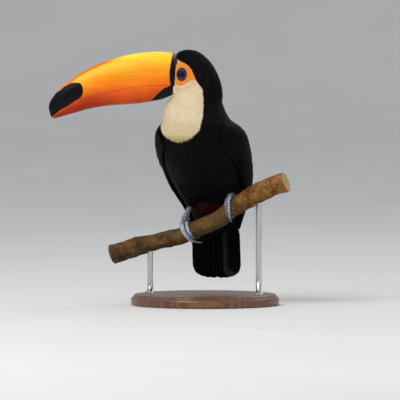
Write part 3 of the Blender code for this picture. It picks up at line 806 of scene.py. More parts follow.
# %% Coat
def on_bird(p):
    """Where feathers grow: off the bare skin, behind the bill, and not on the strip of black skin
    between the two."""
    clear = np.where(p[:, 2] > 296, p[:, 0] - bill_plane(p[:, 2]) - 0.6, 1.0)
    strip = (p[:, 0] < -40) & (p[:, 2] > 311) & (p[:, 2] < 342)
    return (bare_gap(p) < -0.2) & (clear > 0) & ~strip


WING_SLICES = np.array([
    # height, half width, reach forward, reach back, first and last degrees from the breast,
    # thickness over the body, depth into it
    (263, 47, 42, 40, 76, 122, 1.0, 2.0), (256, 54, 47, 46, 58, 142, 3.4, 3),
    (245, 59.5, 52, 50, 48, 156, 5.6, 3), (231, 61, 53, 52, 46, 164, 6.4, 3),
    (206, 62, 54, 50, 57, 170, 6, 3), (184, 60, 51, 48, 68, 172, 6, 2.6),
    (160, 54, 42, 43, 77, 167, 5.5, 2), (140, 46, 32, 36, 84, 154, 4.5, 1.2),
    (124, 41, 25, 29, 91, 138, 3.5, 0.8), (112, 38, 20, 24, 98, 124, 2.5, 0.8),
    (106.5, 37, 19, 22, 103, 114, 1.2, 0.8),
])
WINGS = smooth_rows(WING_SLICES, np.linspace(0, len(WING_SLICES) - 1, 400))[::-1]
UNDER_WING_MARGIN = 7.0  # no body feathers grow further than this inside a wing's edges, in degrees
RIGHT_WING_BACK = 15  # how many degrees further back the right wing starts at its shoulder


def wing_front(z, sign):
    """Where a wing's front edge lies, in degrees from the breast. The turned head pushes the bib
    out over the right shoulder, so the right wing starts further back there."""
    return np.interp(z, WINGS[:, 0], WINGS[:, 4]) + (sign < 0) * RIGHT_WING_BACK * ease(226, 246, z)


def under_wing(p):
    """True under a folded wing, more than the margin inside its edges."""
    turn, z = turn_from_breast(p), p[:, 2]
    first = wing_front(z, -np.sign(turn)) + UNDER_WING_MARGIN
    last = np.interp(z, WINGS[:, 0], WINGS[:, 5]) - UNDER_WING_MARGIN
    return (np.abs(turn) > first) & (np.abs(turn) < last) & (z < 256) & (z > 112)


def room_for(p, long):
    """Feathers are half as long at the edge of the bare skin, and short where the bib ends."""
    long = long * (0.5 + 0.5 * ease(-1, -9, bare_gap(p)))
    return np.where(bib_gap(p) > 0, np.minimum(long, 3.2 + 1.1 * bib_gap(p)), long)


def coat_piece(name, spacing, wanted, length, width, outline, seed, pale=False, vary=0.12, lift=0.0):
    """One region of the coat. length and width are tables of height and millimetres, and lift is
    how far the feathers of the head stand over the outer surface."""
    p, uv = sow(spacing, lambda q: on_bird(q) & ~under_wing(q) & wanted(q), seed)
    long, wide = (room_for(p, np.interp(p[:, 2], *np.array(t, float).T)) for t in (length, width))
    finish, slot = (pale_feathers, "cream_bib") if pale else (black_feathers, "black_plumage")
    proud = lift * ease(300, 318, p[:, 2])
    return plumage(name, p, uv, long, wide, coat_depth(p), outline, finish, proud, seed, vary)


HEAD_FROM, NECK_FROM = 300, 255  # heights
velvet = vane(5, 4, 0.5, 0.35, 0.14)
soft = vane(7, 4, 0.5, 0.4, 0.16)
contour = vane(7, 5, 0.45, 0.4, 0.1)
dark_part = lambda p: (bib_gap(p) < 0) & (rump_gap(p) < 0) & (vent_gap(p) < 0)
front = lambda p: np.abs(turn_from_breast(p)) < 95
on_neck = lambda p: (p[:, 2] <= HEAD_FROM) & (p[:, 2] > NECK_FROM)
on_trunk = lambda p: dark_part(p) & (p[:, 2] <= NECK_FROM)
coat_piece("coat_head", 1.25, lambda p: dark_part(p) & (p[:, 2] > HEAD_FROM),
           [(295, 7.5), (330, 5), (363, 4.4)], [(295, 3.6), (330, 2.6), (363, 2.4)], velvet, 21, lift=0.7)
coat_piece("coat_bib", 1.5, lambda p: bib_gap(p) >= 0,
           [(230, 9), (280, 8), (320, 5)], [(230, 4.6), (280, 4.2), (320, 2.6)], soft, 22, True, 0.03)
coat_piece("coat_neck", 2.0, lambda p: dark_part(p) & on_neck(p),
           [(255, 12), (300, 7.5)], [(255, 6.5), (300, 3.8)], contour, 23)
coat_piece("coat_breast", 2.5, lambda p: on_trunk(p) & front(p),
           [(100, 13), (200, 14), (255, 12)], [(100, 7), (200, 8), (255, 6.5)], contour, 24)
coat_piece("coat_back", 2.5, lambda p: on_trunk(p) & ~front(p),
           [(100, 13), (200, 15), (255, 12)], [(100, 7), (200, 8), (255, 6.5)], contour, 25)
coat_piece("coat_rump", 2.0, lambda p: rump_gap(p) >= 0,
           [(100, 14), (160, 14)], [(100, 7), (160, 7)], contour, 26, True, 0.05)
coat_piece("coat_vent", 2.0, lambda p: (vent_gap(p) >= 0) & (rump_gap(p) < 0),
           [(94, 12), (150, 14)], [(94, 6), (150, 7)], contour, 27)

# %% [markdown]
# ## Long feathers
# Wing and tail feathers are big enough to be solids of their own: a blade with two vanes, a shaft
# that stands proud on both faces, and edges where the barbs have parted. A blade's rings run
# across it and back. Where it lies is left to a function of its own, so that the same blade can
# follow the folded wing or hang free in the tail.

# %% Blades
BLADE_COLUMNS = 9  # points across each face of a blade


def blades(count, rows, width, seed, thick=0.5, base=0.35, tip=0.75, shaft=0.35, slits=0.12):
    """Rings of long feathers: places along from 0 to 1, offsets across in mm, and heights in mm.

    The half width grows from the base and closes as the root of 1 - t^2.2 after the tip's share
    of the length. The faces part as thick·(1 - across²)^½ with a narrow ridge for the shaft.
    Slits cut the edges where random numbers are high.
    """
    draw = np.random.default_rng(seed)
    v = np.linspace(0, 1, rows)
    half = base + (1 - base) * ease(0, 0.35, v)
    half = half * np.sqrt(np.clip(1 - (np.clip(v - tip, 0, 1) / (1.002 - tip)) ** 2.2, 0.0, 1))
    u = np.linspace(-1, 1, BLADE_COLUMNS)
    ring = np.concatenate([u, u[-2:0:-1]])
    face = np.concatenate([np.ones(BLADE_COLUMNS), -np.ones(BLADE_COLUMNS - 2)])
    slit = draw.uniform(0, 1, (count, rows, 2))
    slit = 1 - slits * (slit > 0.92)
    edge = np.where(ring > 0, slit[..., 1:], slit[..., :1])
    edge = np.where(np.abs(ring) > 0.9, edge, 1.0)
    wide = np.broadcast_to(np.asarray(width, float).reshape(-1, 1, 1), (count, 1, 1))
    across = ring * half[:, None] * edge * wide / 2
    ridge = shaft * np.exp(-((ring / 0.12) ** 2)) * (1 - 0.7 * v[:, None])
    height = face * (thick / 2 * np.sqrt(np.clip(1 - ring**2, 0.04, 1)) + ridge) + 0 * across
    along = np.broadcast_to(v[:, None], across.shape)
    return along, across, height, np.broadcast_to(ring, across.shape)


def put_blades(name, points, along, ring, tints, finish):
    """All the blades as one mesh, each with a strip of the unwrap of its own."""
    count, rows, columns = points.shape[:3]
    turn = np.broadcast_to(np.arange(columns) / columns, (rows, columns))
    cloud, faces, uv, vane_map, colours = [], [], [], [], []
    for i in range(count):
        cloud.append(closed_points(points[i]))
        faces += closed_faces(rows, columns, i * (rows * columns + 2))
        up = with_ends(along[i])
        uv.append(np.stack([(i + 0.05 + 0.9 * with_ends(turn)) / count, 0.02 + 0.96 * up], -1))
        vane_map.append(np.stack([with_ends(ring[i]) / 2 + 0.5, up], -1))
        colours.append(np.clip((0.85 + 0.25 * up)[:, None] * tints[i], 0.001, 1))
    made = put_mesh(name, np.concatenate(cloud), faces, finish,
                    colours={"coat": np.concatenate(colours)},
                    maps={"OFBake": np.concatenate(uv), "vane": np.concatenate(vane_map)})
    print(name, count, "blades", len(made.data.polygons), "faces")
    return made


# %% [markdown]
# ## Folded wings
# A folded wing is a stack of feathers on an arm. Small coverts tile the shoulder, bigger ones lap
# over the roots of the secondaries, and the secondaries lie on the primaries, whose points reach
# towards the tail. A place on the wing is its share down from the shoulder and its share back from
# the front edge. A thin shell fills the wing under its feathers. It is duller than they are, so
# that no gloss shows between them.

# %% Wing surface
WING_TOP, WING_DROP = 263.0, 156.5
FEATHER_ROOM = 1.6  # the shell lies this far inside the wing's outer face


def reach_of(yaw, side, fore, aft, toward):
    """How far an ellipse reaches in level directions: 1 / root of (ahead/depth)² + (aside/side)²."""
    forward, left = facing(yaw)
    ahead, aside = (toward * forward).sum(-1), (toward * left).sum(-1)
    return 1 / np.sqrt((ahead / np.where(ahead > 0, fore, aft)) ** 2 + (aside / side) ** 2)


def wing_place(sign, down, back, lift):
    """A point over the wing: the slice's centre, plus outwards times the reach of body or wing,
    plus a thickness that falls to both edges, plus the lift."""
    z = WING_TOP - WING_DROP * down
    side, fore, aft, last, thick = (np.interp(z, WINGS[:, 0], WINGS[:, k]) for k in (1, 2, 3, 5, 6))
    first = wing_front(z, sign)
    x, y, yaw, wide, body_fore, body_aft = slice_at(z)
    half = np.sqrt(np.maximum(wide, 1.0))
    a = np.radians(first + back * (last - first))[..., None]
    forward, left = facing(BODY_YAW)
    toward = np.cos(a) * forward + np.sin(a) * left * sign
    reach = np.maximum(reach_of(yaw, half, half * body_fore, half * body_aft, toward),
                       reach_of(np.full_like(z, BODY_YAW), side, fore, aft, toward))
    middle = np.clip(1 - (2 * back - 1) ** 2, -0.4, 1)
    reach = reach + thick * (0.3 + 0.7 * middle) + lift
    return np.stack([x, y, z], -1) + toward * reach[..., None]


HALF_STEP = 0.02  # a share back, over which the wing's breadth is measured


def breadth(sign, down, back):
    """How many mm of wing, from front to back, there are for two half steps at each place."""
    ends = [wing_place(sign, down, back + step, 0) for step in (HALF_STEP, -HALF_STEP)]
    return np.linalg.norm(ends[0] - ends[1], axis=-1)


def wing_blades(name, sign, rows, seed):
    """Feathers laid on the wing. Each row of the table gives a feather's root and tip, as shares
    down and back, its width in mm and its height over the shell's outer face at root and tip."""
    along, across, height, ring = blades(len(rows), 22, rows[:, 4], seed)
    root_down, root_back, tip_down, tip_back, _, low, high = (rows[:, k, None, None] for k in range(7))
    bow = np.random.default_rng(seed).normal(0, 0.012, (len(rows), 1, 1))
    down = root_down + (tip_down - root_down) * along
    back = root_back + (tip_back - root_back) * along + bow * np.sin(np.pi * along)
    slope = (tip_back - root_back) / np.maximum(tip_down - root_down, 0.05)
    sideways = across / np.maximum(breadth(sign, down, back) / (2 * HALF_STEP), 8)
    rise = low + (high - low) * along + height - 0.012 * across**2
    points = wing_place(sign, down - sideways * slope * 0.15, back + sideways, rise - FEATHER_ROOM)
    if sign > 0:
        points = points[:, :, ::-1]
        ring = ring[:, :, ::-1]
    shades = np.random.default_rng(seed + 1).uniform(0.8, 1.25, (len(rows), 1)) * WING_BLACK
    return put_blades(name, points, along, ring, shades, black_vanes)


# %% Wing feathers
def fan_row(count, jitter, seed, *pairs):
    """A row of feathers side by side, from the front edge to the back: each fact runs evenly
    between the two numbers of its pair."""
    share = np.linspace(0, 1, count)
    rows = np.stack([np.interp(share, (0, 1), pair) for pair in pairs], -1)
    rows[:, :4] += np.random.default_rng(seed).normal(0, jitter, (count, 4))
    return rows


WING_BLACK = 0.7 * BLACK
WING_ROWS = {  # how many, how uneven, seed, then at the front and at the back of the row:
    # root down, root back, tip down, tip back, width, and height at the root and at the tip
    "primaries": fan_row(
        6, 0.004, 1, (0.38, 0.42), (0.10, 0.45), (0.80, 1.0), (0.12, 0.62),
        (10, 11), (0.0, 0.3), (0.2, 0.6)),
    "secondaries": fan_row(
        9, 0.006, 2, (0.26, 0.24), (0.06, 0.86), (0.66, 0.84), (0.10, 0.80),
        (17, 20), (0.4, 0.8), (0.8, 1.4)),
    "tertials": fan_row(
        4, 0.006, 3, (0.16, 0.12), (0.72, 0.96), (0.64, 0.74), (0.70, 0.93),
        (19, 19), (0.9, 1.2), (1.4, 1.7)),
    "greater_coverts": fan_row(
        10, 0.008, 4, (0.17, 0.13), (0.04, 0.80), (0.42, 0.46), (0.07, 0.80),
        (15, 17), (0.9, 1.0), (1.7, 1.9)),
    "median_coverts": fan_row(
        12, 0.008, 5, (0.10, 0.07), (0.04, 0.84), (0.29, 0.30), (0.06, 0.84),
        (12, 14), (1.1, 1.1), (2.0, 2.2)),
}
black_vanes = feather_finish("black_vanes", 0.5, 0.12, barbs=60.0, specular_ior_level=0.03)
shell_finish, tree, bsdf = new_finish("wing_shell", 0.75, specular_ior_level=0.04)
link(tree, bsdf, Base_Color=feather_dark(tree, stored(tree, "coat", True)))
for side, sign in (("left", 1), ("right", -1)):
    down, back = np.meshgrid(np.linspace(0, 1, 60), np.linspace(0.05, 0.97, 40), indexing="ij")
    outer = wing_place(sign, down, back, -FEATHER_ROOM)
    thick, deep = (np.interp(WING_TOP - WING_DROP * down, WINGS[:, 0], WINGS[:, k]) for k in (6, 7))
    thick = thick * (0.3 + 0.7 * (1 - (2 * back - 1) ** 2))
    inner = wing_place(sign, down, back, -(thick + deep))
    shell = np.concatenate([outer, inner[:, ::-1]], 1)
    if sign < 0:
        shell = shell[:, ::-1]
    tints = np.tile(WING_BLACK, (shell.shape[0] * shell.shape[1] + 2, 1))
    made = put_closed("wing_shell_" + side, shell, shell_finish, colours={"coat": tints})
    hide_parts("wing_" + side)
    for k, (kind, rows) in enumerate(WING_ROWS.items()):
        wing_blades(f"{kind}_{side}", sign, rows, 40 + 10 * k + sign)

# %% [markdown]
# ## Shoulder feathers
# The lesser coverts and the feathers of the mantle are too many to lay one by one. They are sown
# over the top of the wing like the body's, with the wing's own surface in place of the body's.

# %% Lesser coverts
EVEN_STEPS = 0.7548777, 0.5698403  # steps whose remainders spread points evenly over a square
SHOULDER = 0.27  # how far down the wing these feathers are rooted


def wing_coat(name, sign, count, seed):
    """Small vanes over the shoulder. A vane's points are places on the wing: its root, plus its
    length over the wing's drop, and its width over the wing's breadth."""
    draw = np.random.default_rng(seed)
    across, along, u, v, cells = contour
    steps = np.arange(count)
    down = 0.005 + SHOULDER * ((steps * EVEN_STEPS[0]) % 1) + draw.normal(0, 0.003, count)
    back = 0.02 + 0.96 * ((steps * EVEN_STEPS[1]) % 1)
    length = np.interp(down, (0, SHOULDER), (9, 15)) * draw.uniform(0.85, 1.15, count)
    width = length * 0.62
    level = np.maximum((breadth(sign, down, back) / (2 * HALF_STEP))[:, None], 12)
    sideways = width[:, None] / 2 * across / level
    lean = draw.normal(0, 0.1, count)[:, None] + 0.18
    d = down[:, None] + length[:, None] * along / WING_DROP
    b = back[:, None] + sideways + lean * length[:, None] * along / level
    uneven = 0.25 * draw.normal(0, 1, count)[:, None]
    rise = -1.2 + 1.5 * along + uneven * along - 0.06 * width[:, None] * across**2
    rise = rise + 0.6 * ease(0.05, 0.25, d)
    p = wing_place(sign, d, b, rise)
    faces = (cells if sign < 0 else cells[:, ::-1])[None] + (steps * len(along))[:, None, None]
    tint = WING_BLACK * draw.uniform(0.85, 1.2, (count, 1, 1)) * (0.85 + 0.3 * v[:, None])
    root = np.stack([back, 1 - down], -1)[:, None] * 0.98 + 0.01
    patch = root + PATCH * np.stack([across / 2, along - 0.5], -1)
    vane_map = np.broadcast_to(np.stack([u, v], -1) / 2 + 0.5, (count, len(u), 2))
    put_mesh(name, p.reshape(-1, 3), [faces.reshape(-1, 4)], black_feathers,
             colours={"coat": tint.reshape(-1, 3)},
             maps={"OFBake": patch.reshape(-1, 2), "vane": vane_map.reshape(-1, 2)})
    print(name, count, "feathers")


wing_coat("lesser_coverts_left", 1, 900, 71)
wing_coat("lesser_coverts_right", -1, 900, 72)

# %% [markdown]
# ## Tail
# Ten tail feathers hang from the rump in five pairs. The middle pair lies at the back and each
# pair further out lies in front of the last, so from the front the outer ones cover the others.
# Their ends follow one round line.

# %% Tail feathers
TAIL_SLICES = np.array([  # height, x, y, half thickness
    (124, 14.2, 37.6, 2.4), (112, 15, 40.4, 2.6), (100, 15.7, 42.6, 2.6), (80, 16.5, 44.8, 2.3),
    (60, 17, 46.6, 2), (50, 17.2, 47.4, 1.7), (43, 17.4, 47.9, 1.4), (39, 17.5, 48.2, 1.2),
    (37.6, 17.5, 48.3, 1.1),
])
TAIL_ROOT = 128  # the height of the feathers' roots, inside the trunk
PAIRS = [  # middle's share of the half width, width in mm, tip's height, layer from back to front
    (0.16, 24, 36.2, 0), (0.38, 23, 36.6, 1), (0.56, 22, 38.0, 2), (0.68, 21, 40.5, 3),
    (0.74, 19, 45.0, 4),
]
PAINTED_TAIL_SHEEN = 11  # two of the left side's feathers are this many times paler, a painted sheen, and show as a strip


def tail_blades():
    """Each feather's middle line runs down the tail's slices at its share of their half width,
    and its points lie across the bird and forward of that by the layer's step."""
    forward, left = facing(BODY_YAW)
    tail = TAIL_SLICES[::-1]
    facts = [
        (sign * share, wide, tip, layer + 0.5 * (sign < 0))
        for share, wide, tip, layer in PAIRS for sign in (1, -1)
    ]
    share, wide, tip, layer = (np.array(f)[:, None, None] for f in zip(*facts))
    along, across, height, ring = blades(
        len(facts), 48, wide, 90, thick=0.6, base=0.5, tip=0.86, shaft=0.3, slits=0.05)
    z = TAIL_ROOT + (tip - TAIL_ROOT) * along
    x, y, thick = (np.interp(z, tail[:, 0], tail[:, k]) for k in (1, 2, 3))
    half = np.interp(z, (37, 60, 100, 128), (36, 36, 36, 33))
    side = share * half + across
    depth = (layer - 2.25) / 2.25 * (thick - 0.4) * 0.9 + height
    p = np.stack([x, y, z], -1) + depth[..., None] * forward + side[..., None] * left
    shades = np.random.default_rng(91).uniform(0.85, 1.3, (len(facts), 1)) * WING_BLACK
    signed = share.ravel()
    # painted sheen: the feathers at shares 0.56 and 0.68 on the left side are made paler, as if the light
    # caught them
    shades[(signed > 0.5) & (signed < 0.7)] *= PAINTED_TAIL_SHEEN
    made = put_blades(
        "tail_feathers", p[:, :, ::-1], along, ring[:, :, ::-1], shades, black_vanes)
    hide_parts("tail")


tail_blades()

# %% [markdown]
# ## Bill
# The bill is a light, thin-walled horn sheath, and the bird's brightest part. It is made as two
# halves on one set of measures: the ridge, the cutting edge and the underside, each as distances
# out from the face and up. A section is a superellipse, a little squarer than an ellipse, which
# the cutting edge parts. The cutting edge has worn notches in front, and the ridge a low keel.

# %% Bill measures
BILL_BASE = np.array([-42.3, -40, 327.3])
BILL_STATIONS = np.array([  # distance out and height of the ridge, the edge and the underside; half width
    (-2, 29.5, 2.2, -15.5, 3.5, -28.5, 23.2), (18, 32, 19, -15, 19, -34.8, 23.6),
    (47, 30.7, 47, -16, 46, -40, 22.6), (76, 25, 74, -21, 71, -42, 20.6),
    (105, 16, 100, -26.5, 96, -44, 18.2), (134, 1.6, 124, -33.2, 120, -48, 15.2),
    (157, -15.5, 144, -41, 142, -54, 11.6), (171.5, -31, 159, -48.5, 158, -58.5, 8.0),
    (178, -45, 168, -55, 166.5, -60.8, 4.6), (175, -60, 173.8, -60.2, 171.5, -61.6, 0.9),
])
BILL_SQUARENESS = 2.3  # the superellipse's power, where 2 is an ellipse
RING_EDGE = np.array([  # height and distance out of the dark ring's edge
    (-30, 5.4), (-15, 6.1), (-5, 7.6), (5, 7.8), (18, 5.6), (31, 2.9),
])
CHIN_EDGE = np.array([  # and of the dark patch under the chin
    (-39.2, 36.2), (-34.2, 31.4), (-26.5, 24.0), (-19.6, 16.6), (-15.7, 7.4),
])
TIP_PATCH = np.array([  # distance out and height of the black tip's edge
    (164.4, -23.7), (155.8, -17), (148.1, -12.4), (140.5, -10.8), (133.6, -11.6), (130.0, -16.0),
    (129.3, -22.7), (129.8, -28), (133, -32.4), (140.5, -36.8), (147, -41), (153, -46.5),
    (160, -51), (166, -56), (173, -68), (190, -68), (190, -42), (176, -26),
])
BILL_ROWS = 230


def bill_half(upper, columns):
    """One half of the bill as closed rings, each point's distance out and height, its share of
    the way up the bill, and its depth below the ridge.

    A ring runs over the outside from one cutting edge to the other, and back along the mouth. The
    outside's point at angle a stands across by cos(a)^p times the half width, and up by sin(a)^p,
    with the two spans either side of the cutting edge each stretched to their own height. The
    lower half is a little narrower, and the edges are nicked where both halves meet.
    """
    stations = smooth_rows(BILL_STATIONS, np.linspace(0, len(BILL_STATIONS) - 1, BILL_ROWS))[:, None]
    ridge, edge, under = (stations[..., k:k + 2] for k in (0, 2, 4))
    wide = stations[..., 6]
    power = 2 / BILL_SQUARENESS
    low = np.linalg.norm(edge - under, axis=-1)
    share = low / (low + np.linalg.norm(ridge - edge, axis=-1))
    level = 2 * share - 1
    start = np.arcsin(np.sign(level) * np.abs(level) ** (1 / power))
    t = np.linspace(0, 1, columns)
    a = start + (math.pi - 2 * start) * t if upper else start - (math.pi + 2 * start) * t
    height = 0.5 + 0.5 * np.sign(np.sin(a)) * np.abs(np.sin(a)) ** power
    across = np.sign(np.cos(a)) * np.abs(np.cos(a)) ** power * wide
    out = edge[..., 0]
    if upper:
        rise = np.clip((height - share) / (1 - share), 0, 1)
        keel = 0.45 * np.exp(-((across / 1.6) ** 2)) * ease(2, 14, out)
        groove = -0.2 * np.exp(-(((rise - 0.86) / 0.1) ** 2)) * ease(3, 16, out) * ease(120, 60, out)
        flat = edge + rise[..., None] * (ridge - edge)
        across = across * (1 + groove / np.maximum(np.abs(across), 4))
        flat[..., 1] += keel
    else:
        rise = np.clip(height / share, 0, 1)
        flat = under + rise[..., None] * (edge - under)
        across = across * 0.99
    wear = np.maximum(0, np.sin(out * 1.55 + 0.6 * np.sin(out * 0.31))) ** 3
    near_edge = np.exp(-(rise / 0.035 if upper else (1 - rise) / 0.09))
    notch = 0.28 * wear * ease(35, 60, out) * ease(172, 160, out) * near_edge
    flat[..., 1] += notch * (0.9 if upper else -0.6)
    shell = np.stack([-flat[..., 0], -across, flat[..., 1]], -1) + BILL_BASE
    mouth = np.linspace(1, 0, 12)[1:-1][None, :, None]
    floor = shell[:, :1] * (1 - mouth) + shell[:, -1:] * mouth
    points = np.concatenate([shell, floor], 1)
    if upper:
        points = points[:, ::-1]
    local = np.stack([BILL_BASE[0] - points[..., 0], points[..., 2] - BILL_BASE[2]], -1)
    whole = (local[..., 1] - under[..., 1]) / np.maximum(ridge[..., 1] - under[..., 1], 1)
    below = np.maximum(ridge[..., 1] - local[..., 1], 0)
    return points, local, np.clip(whole, 0, 1), below


def bill_values(local, whole):
    """The numbers that the bill's finish reads: share up the bill, distance out, and how far
    inside the dark ring, the dark chin and the dark tip."""
    flat = local.reshape(-1, 2)
    ring = np.interp(flat[:, 1], RING_EDGE[:, 0], RING_EDGE[:, 1]) - flat[:, 0]
    chin = (np.interp(flat[:, 1], CHIN_EDGE[:, 0], CHIN_EDGE[:, 1]) - flat[:, 0]) * 0.75
    gaps = {"ring": ring, "chin": chin, "tip": inside(flat, TIP_PATCH)}
    return {"up": whole, "out": local[..., 0], **{k: v.reshape(whole.shape) for k, v in gaps.items()}}


# %% Bill finish
def bill_finish(name, lower):
    """Horn that runs from yellow under the ridge through orange to red-orange below, with faint growth
    streaks and a waxy gloss. The upper half has a red keel, a dark ring at its base with a painted highlight
    along its top, and a black tip. The lower half has a dark patch at the chin, and short dark dashes that
    are partly growth lines and partly painted shade of the notched edge."""
    made, tree, bsdf = new_finish(name, 0.4, coat_weight=0.03, coat_roughness=0.25, specular_ior_level=0.13)
    here = place(tree)
    streaks = noise(tree, place(tree, (14, 60, 130)), 1.0, 5, 0.6)
    clouds = noise(tree, here, 34, 4)
    up = stored(tree, "up")
    out = stored(tree, "out")
    shift = times(tree, calc(tree, "SUBTRACT", clouds, 0.5), 0.16)
    forward = spread(tree, out, 40, 150, 0.0, -0.1, smooth=False)
    tone = plus(tree, up, plus(tree, shift, forward))
    horn = gradient(tree, tone, [
        (0.0, paint(212, 72, 18)), (0.08, paint(226, 82, 20)), (0.2, paint(234, 92, 22)),
        (0.34, paint(246, 118, 24)), (0.5, paint(248, 140, 26)), (0.64, paint(250, 160, 30)),
        (0.78, paint(252, 186, 36)), (0.9, paint(252, 208, 44)), (1.0, paint(255, 230, 96))])
    front_low = times(tree, spread(tree, out, 66, 132), spread(tree, tone, 0.5, 0.05))
    horn = blend(tree, times(tree, front_low, 0.8), horn, paint(158, 34, 12))
    horn = dimmed(tree, horn, spread(tree, streaks, 0.35, 0.65, 0.92, 1.05))
    rag = times(tree, calc(tree, "SUBTRACT", noise(tree, here, 240, 3), 0.5), 2.2)
    if lower:
        # partly painted shade: short dark dashes on the lower half, 30 to 72 mm out, stand for growth lines
        # and for the shade of the notched cutting edge
        lines = noise(tree, place(tree, (430, 6, 14)), 1.0, 2)
        mask = times(tree, spread(tree, out, 30, 42), spread(tree, out, 72, 56))
        mask = times(tree, mask, spread(tree, lines, 0.5, 0.62))
        horn = blend(tree, times(tree, mask, 0.32), horn, paint(168, 66, 20))
        dark = spread(tree, plus(tree, stored(tree, "chin"), times(tree, rag, 0.3)), -0.35, 0.35)
    else:
        keel = times(tree, spread(tree, stored(tree, "keel"), 4.6, 2.2), spread(tree, out, 70, 104))
        strip = blend(tree, spread(tree, out, 125, 150), paint(226, 92, 44), paint(232, 118, 34))
        horn = blend(tree, times(tree, keel, 0.9), horn, strip)
        base = spread(tree, plus(tree, stored(tree, "ring"), times(tree, rag, 0.3)), -0.35, 0.35)
        tip = spread(tree, plus(tree, stored(tree, "tip"), rag), -0.5, 0.5)
        dark = calc(tree, "MAXIMUM", base, tip)
    black = gradient(tree, noise(tree, here, 90, 4), [(0.3, paint(4, 3.5, 3.5)), (0.7, paint(12, 10, 10))])
    # painted highlight: the top of the dark ring next to the face is mixed towards a pale pinkish grey, for
    # the sky's reflection there
    painted_ring_highlight = times(tree, spread(tree, up, 0.8, 1.0), spread(tree, out, 8, 0))
    black = blend(tree, times(tree, painted_ring_highlight, 0.8), black, paint(138, 116, 124))
    link(tree, bsdf, Base_Color=blend(tree, dark, horn, black))
    lumps = plus(tree, times(tree, streaks, 0.5), clouds)
    link(tree, bsdf, Normal=relief(tree, lumps, 0.22))
    link(tree, bsdf, Roughness=spread(tree, streaks, 0.3, 0.7, 0.3, 0.44))
    return made


# %% Bill pieces
BILL_HALVES = (("bill_upper", True, 96, "orange_bill"), ("bill_lower", False, 72, "red_orange_bill"))
for kind, upper, columns, slot in BILL_HALVES:
    points, local, whole, below = bill_half(upper, columns)
    numbers = {**bill_values(local, whole), "keel": below}
    made = put_closed(kind + "_horn", points, bill_finish(kind + "_finish", not upper), numbers)
    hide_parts(kind)
    print(kind, len(made.data.polygons), "faces")

# %% [markdown]
# ## Eyes
# The eye is a ball of which little shows: a black pupil, a dark brown iris and a clear, wet front
# that bulges a little. Round it lies a ring of bare blue skin with fine folds, whose inner edge is
# the lid. Both are polar grids about the axis of the eye, so their details are true circles.

# %% Eyes
eye_finish, tree, bsdf = new_finish("wet_eye", 0.06, specular_ior_level=0.15)
out = stored(tree, "from_axis")
rays = noise(tree, place(tree, (1, 0.05, 1)), 1800, 3)
iris = gradient(tree, rays, [(0.3, paint(14, 8, 8)), (0.7, paint(38, 22, 18))])
limbus = spread(tree, out, 4.0, 4.6)
iris = blend(tree, limbus, iris, paint(10, 8, 12))
link(tree, bsdf, Base_Color=blend(tree, spread(tree, out, 2.5, 2.2), iris, (0.001, 0.001, 0.0015)))
link(tree, bsdf, Roughness=spread(tree, rays, 0.3, 0.7, 0.03, 0.07))

ring_finish, tree, bsdf = new_finish("blue_eye_skin", 0.5, specular_ior_level=0.45)
share = stored(tree, "share")
fold = noise(tree, place(tree, (1, 0.4, 1)), 1400, 4, 0.6)
bead = node(tree, "TexVoronoi", {"Vector": place(tree), "Scale": 1150}).outputs["Distance"]
blue = gradient(tree, spread(tree, plus(tree, share, times(tree, fold, 0.3)), 0.1, 1.2), [
    (0.0, paint(14, 14, 34)), (0.25, paint(20, 20, 76)), (0.4, paint(28, 30, 112)),
    (0.5, paint(36, 20, 84)), (0.6, paint(44, 12, 34)), (0.74, paint(44, 14, 14)),
    (1.0, paint(60, 24, 14))])
link(tree, bsdf, Base_Color=blend(tree, spread(tree, bead, 0.1, 0.5, 0.0, 0.45), blue, paint(22, 22, 84)))
link(tree, bsdf, Roughness=spread(tree, fold, 0.3, 0.7, 0.4, 0.6),
     Normal=relief(tree, calc(tree, "SUBTRACT", fold, bead), 0.3))
RING_INNER, RING_OUTER = (4.25, 4.15), (8.2, 10.3)  # half width and half height of the eye's ring


def eye_ball(centre, sign):
    """A ball whose front bulges by a twentieth, and each point's distance from the eye's axis."""
    turn = turns(64)[None]
    polar = np.concatenate([np.linspace(0.02, 1.05, 34), np.linspace(1.15, 3.1, 12)])[:, None]
    bulge = 1 + 0.05 * np.exp(-((polar / 0.42) ** 2))
    ways = np.stack([np.sin(polar) * np.cos(turn) * sign, -sign * np.cos(polar) + 0 * turn,
                     np.sin(polar) * np.sin(turn)], -1)
    ball = EYE_RADIUS * bulge[..., None] * ways + centre
    return ball, np.where(polar < 1.57, EYE_RADIUS * np.sin(polar), 6.0) + 0 * turn


def eye_ring(centre, sign):
    """A ring that lies on the face, from inside the lid out to the orange skin. It is raised at
    the lid, lower in the middle and finely folded, and its inner edge turns in to the ball."""
    share = np.linspace(-0.14, 1, 34)[:, None]
    turn = turns(110)[None]
    wide = np.maximum(share, 0) ** 0.9
    x = (RING_INNER[0] + (RING_OUTER[0] - RING_INNER[0]) * wide) * np.cos(turn)
    z = (RING_INNER[1] + (RING_OUTER[1] - RING_INNER[1]) * wide) * np.sin(turn)
    raised = 0.75 * np.exp(-(((share - 0.1) / 0.12) ** 2)) + 0.35 * np.exp(-(((share - 0.55) / 0.3) ** 2))
    raised = raised + 0.1 * np.sin(share * 32 + 2 * np.sin(turn * 3))
    raised = raised - 0.5 * ease(0.8, 1.0, share) - 1.6 * ease(0.02, -0.14, share)
    seat = np.stack([centre[0] + x, centre[1] - sign * 5.0 + 0 * x, centre[2] + z], -1)
    seat = settle(seat.reshape(-1, 3), -0.2 + raised.ravel(), 4).reshape(*x.shape, 3)
    return seat[:, ::-1] if sign > 0 else seat, np.clip(share + 0 * x, 0, 1)


